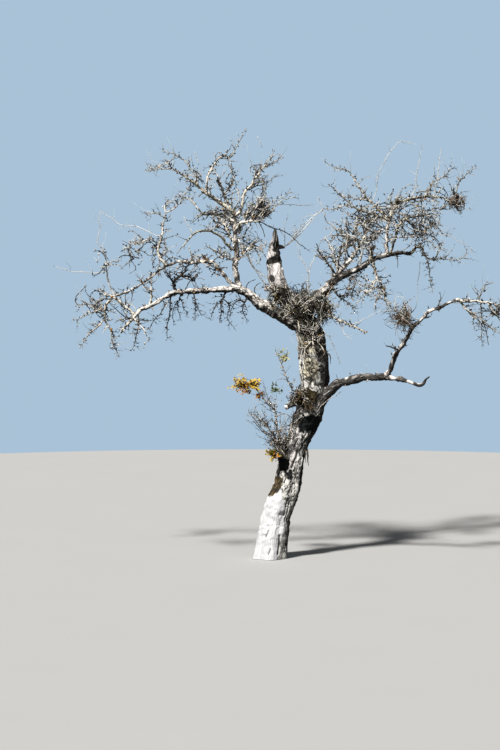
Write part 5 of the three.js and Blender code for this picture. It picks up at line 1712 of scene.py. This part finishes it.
class TREE_OT_boughs(bpy.types.Operator):
    """Build the boughs' bark"""
    bl_idname = "tree.boughs"
    bl_label = "Boughs"

    def execute(self, context):
        limbs = routes()[0]
        for name, (on, share, *_shape) in LIMBS.items():
            parent_radius = limbs[on].place(limbs[on].parameter(share))[2]
            piece = make_limb(name, limbs[name], context.scene.tree_bark, parent_radius)
            finish_piece(piece, (name,))
        return {"FINISHED"}


class TREE_OT_breaks(bpy.types.Operator):
    """Build what is broken off the trunk: its spikes, splinters and loose bark"""
    bl_idname = "tree.breaks"
    bl_label = "Breaks"

    def execute(self, context):
        look = context.scene.tree_bark
        trunk = routes()[0]["trunk"]
        for name, (share, root, tip, walk) in zip(("spike_right", "spike_left"), SPAR_SPIKES):
            route = Route(trunk.root_at(share), walk, 1, (root, tip), 0)
            finish_piece(make_limb(name, route, look, 0), ("trunk",))
        splinter = plain_material("splinters", tuple(look.splinter))
        finish_piece(mesh_object("splinters", *make_splinters(trunk), [splinter]))
        loose = plain_material("loose bark", tuple(look.loose))
        finish_piece(mesh_object("loose_bark", *make_loose_bark(trunk), [loose]))
        return {"FINISHED"}


def knobbly(line, girth):
    """A branch with a small swelling here and there, thinner over the last fifth of it"""
    radii = []
    last = len(line.points) - 1
    for k, (point, radius) in enumerate(zip(line.points, line.radii)):
        swelling = 1 + 0.22 * noise.noise(point * 21)
        end = 1 - 0.45 * max(0, k / last - 0.8) / 0.2
        radii.append(radius * swelling * end * girth)
    return Line(line.points, radii)


def make_branches(region, look):
    """The stems and arms of a region's masses as one mesh, with pale shoots and dark twigs among them"""
    masses = routes()[1]
    parts = [(name, style_of(name, k), line)
             for name in REGIONS[region] for k, line in enumerate(masses[name])]
    lines = [knobbly(line, 1.0 if style == "shoot" else look.girth) for _name, style, line in parts]
    corners, faces, owners = tubes(lines, look.branch_sides)
    materials = [branch_bark(), plain_material("shoot", tuple(look.shoot)),
                 plain_material("twig_dark", tuple(look.twig_dark))]
    marks = np.array([{"shoot": 1, "dark": 2, "bare": 2}.get(style, 0) for _name, style, _line in parts])
    piece = mesh_object("branches_" + region, corners, faces, materials, marks[owners])
    upwards = np.empty(len(corners) * 3)
    piece.data.vertex_normals.foreach_get("vector", upwards)
    # Painted light on the branches' bark: how far each spot faces the light, weaker on the branches of
    # BRANCH_SHADE
    light = np.array([1 - BRANCH_SHADE.get(name, 0) for name, _style, _line in parts])
    owner_of = np.zeros(len(corners), int)
    for face, owner in zip(faces, owners):
        owner_of[face] = owner
    bleached_and_lit = exposure(corners, upwards.reshape(-1, 3)) * light[owner_of]
    add_masks(piece.data, {"exposure": bleached_and_lit}, corners)
    return piece


class TREE_OT_branches(bpy.types.Operator):
    """Build the branches of the crown, which carry the twigs"""
    bl_idname = "tree.branches"
    bl_label = "Branches"

    def execute(self, context):
        for region, names in REGIONS.items():
            finish_piece(make_branches(region, context.scene.tree_twigs), names)
        return {"FINISHED"}


class TREE_OT_twigs(bpy.types.Operator):
    """Build the twigs, spurs and shoots of the crown"""
    bl_idname = "tree.twigs"
    bl_label = "Twigs"

    def execute(self, context):
        for k, (kind, regions) in enumerate(growth().items()):
            for region, lines in regions.items():
                if lines:
                    piece = twig_mesh(f"{kind}_{region}", lines, kind, SEEDS["twig colours"] + k)
                    finish_piece(piece)
        return {"FINISHED"}


class TREE_OT_tangles(bpy.types.Operator):
    """Build the tangled balls of twigs in the fork and the crown"""
    bl_idname = "tree.tangles"
    bl_label = "Tangles"

    def execute(self, context):
        for index, (name, *ball, kind) in enumerate(TANGLES):
            twigs = tangle(name, *ball, SEEDS["tangles"] + index)
            piece = twig_mesh(f"tangle_{name}_{index}", twigs, kind, SEEDS["tangle colours"] + index)
            finish_piece(piece)
        return {"FINISHED"}


class TREE_OT_leaves(bpy.types.Operator):
    """Build the few leaves on the trunk's side shoots"""
    bl_idname = "tree.leaves"
    bl_label = "Leaves"

    def execute(self, context):
        make_leaves(context.scene.tree_leaves)
        return {"FINISHED"}


FLOOR_DEPTH = 0.002
AROUND_COLOUR = (0.86, 0.93, 1)

# The two soft suns: how soft in degrees, the way to them, and their colour
KEY_SUN = (6, (-0.40, -0.65, 0.93), (1.0, 0.97, 0.94))
FILL_SUN = (40, (0.5, -0.8, 0.35), (0.93, 0.96, 1.0))

# The camera: place in metres, degrees from straight down, and its lens, sensor and reach
CAMERA_PLACE = (-0.2925, -41.894, 5.682)
CAMERA_PITCH = 86
CAMERA_LENS = 135
CAMERA_SENSOR = 36
CAMERA_REACH = 300


def make_floor(look):
    """A pale disc, as its own colour where it is seen, and darker in the light that it throws back"""
    material, tree, shader = new_material("floor", 0.9)
    tone = noise_node(tree, object_place(tree), 0.6, 3, 0.5)
    seen = blend(tree, tone, tuple(0.96 * part for part in look.floor), look.floor)
    straight = add_node(tree, "ShaderNodeLightPath").outputs["Is Camera Ray"]
    thrown = tuple(look.bounce * part for part in look.floor)
    feed(tree, shader.inputs["Base Color"], blend(tree, straight, thrown, seen))
    disc = bmesh.new()
    bmesh.ops.create_circle(disc, cap_ends=True, segments=128, radius=look.floor_radius)
    mesh = bpy.data.meshes.new("floor")
    disc.to_mesh(mesh)
    disc.free()
    mesh.materials.append(material)
    floor = new_object("floor", mesh)
    floor.location.z = -FLOOR_DEPTH
    return floor


def make_backdrop(look):
    """The plain backdrop that is seen, and the weak light from all round"""
    world = bpy.data.worlds.new("studio")
    world.use_nodes = True
    tree = world.node_tree
    backdrop = tree.nodes["Background"]
    feed(tree, backdrop.inputs["Color"], look.backdrop)
    around = add_node(tree, "ShaderNodeBackground", {"Color": AROUND_COLOUR, "Strength": look.around})
    seen = add_node(tree, "ShaderNodeLightPath").outputs["Is Camera Ray"]
    shown = add_node(tree, "ShaderNodeMixShader", {0: seen, 1: around.outputs[0], 2: backdrop.outputs[0]})
    feed(tree, tree.nodes["World Output"].inputs["Surface"], shown.outputs[0])
    return world


def add_sun(name, strength, softness, towards, colour):
    """A soft sun that shines from a direction"""
    light = bpy.data.lights.new(name, "SUN")
    light.energy = strength
    light.angle = math.radians(softness)
    light.color = colour
    new_object(name, light).rotation_euler = Vector(towards).to_track_quat("Z", "Y").to_euler()


def add_camera():
    """The camera at the photograph's viewing angle"""
    data = bpy.data.cameras.new("camera")
    data.lens = CAMERA_LENS
    data.sensor_width = CAMERA_SENSOR
    data.clip_end = CAMERA_REACH
    camera = new_object("camera", data)
    camera.location = CAMERA_PLACE
    camera.rotation_euler = (math.radians(CAMERA_PITCH), 0, 0)
    return camera


class TREE_OT_stage(bpy.types.Operator):
    """Set the pale floor, the soft studio light and the camera"""
    bl_idname = "tree.stage"
    bl_label = "Stage"

    def execute(self, context):
        scene = context.scene
        look = scene.tree_stage
        floor = make_floor(look)
        scene.world = make_backdrop(look)
        add_sun("key light", look.key, *KEY_SUN)
        add_sun("fill light", look.key * look.fill, *FILL_SUN)
        scene.camera = add_camera()
        scene.view_settings.view_transform = "Standard"
        return {"FINISHED"}


class TREE_PT_panel(bpy.types.Panel):
    """The tree's sizes, colours and steps"""
    bl_idname = "TREE_PT_panel"
    bl_label = "Dead orchard tree"
    bl_space_type = "VIEW_3D"
    bl_region_type = "UI"
    bl_category = "Tree"

    def draw(self, context):
        for group, operators in PANEL_ROWS:
            box = self.layout.box()
            settings = getattr(context.scene, group)
            for prop in settings.bl_rna.properties:
                if prop.identifier not in ("name", "rna_type"):
                    box.prop(settings, prop.identifier)
            for operator in operators:
                box.operator(operator.bl_idname)


PANEL_ROWS = (
    ("tree_bark", (TREE_OT_trunk, TREE_OT_boughs, TREE_OT_breaks)),
    ("tree_twigs", (TREE_OT_branches, TREE_OT_twigs, TREE_OT_tangles)),
    ("tree_leaves", (TREE_OT_leaves,)),
    ("tree_stage", (TREE_OT_stage,)),
)
SETTINGS = {
    "tree_bark": TreeBark, "tree_twigs": TreeTwigs, "tree_leaves": TreeLeaves, "tree_stage": TreeStage,
}
OPERATORS = tuple(operator for _, row in PANEL_ROWS for operator in row)


def register():
    for part in (*SETTINGS.values(), *OPERATORS, TREE_PT_panel):
        bpy.utils.register_class(part)
    for name, group in SETTINGS.items():
        setattr(bpy.types.Scene, name, PointerProperty(type=group))


def unregister():
    for name in SETTINGS:
        delattr(bpy.types.Scene, name)
    for part in (TREE_PT_panel, *reversed(OPERATORS), *SETTINGS.values()):
        bpy.utils.unregister_class(part)


def main():
    register()
    for operator in OPERATORS:
        getattr(bpy.ops.tree, operator.bl_idname.split(".")[1])()


if __name__ == "__main__":
    main()
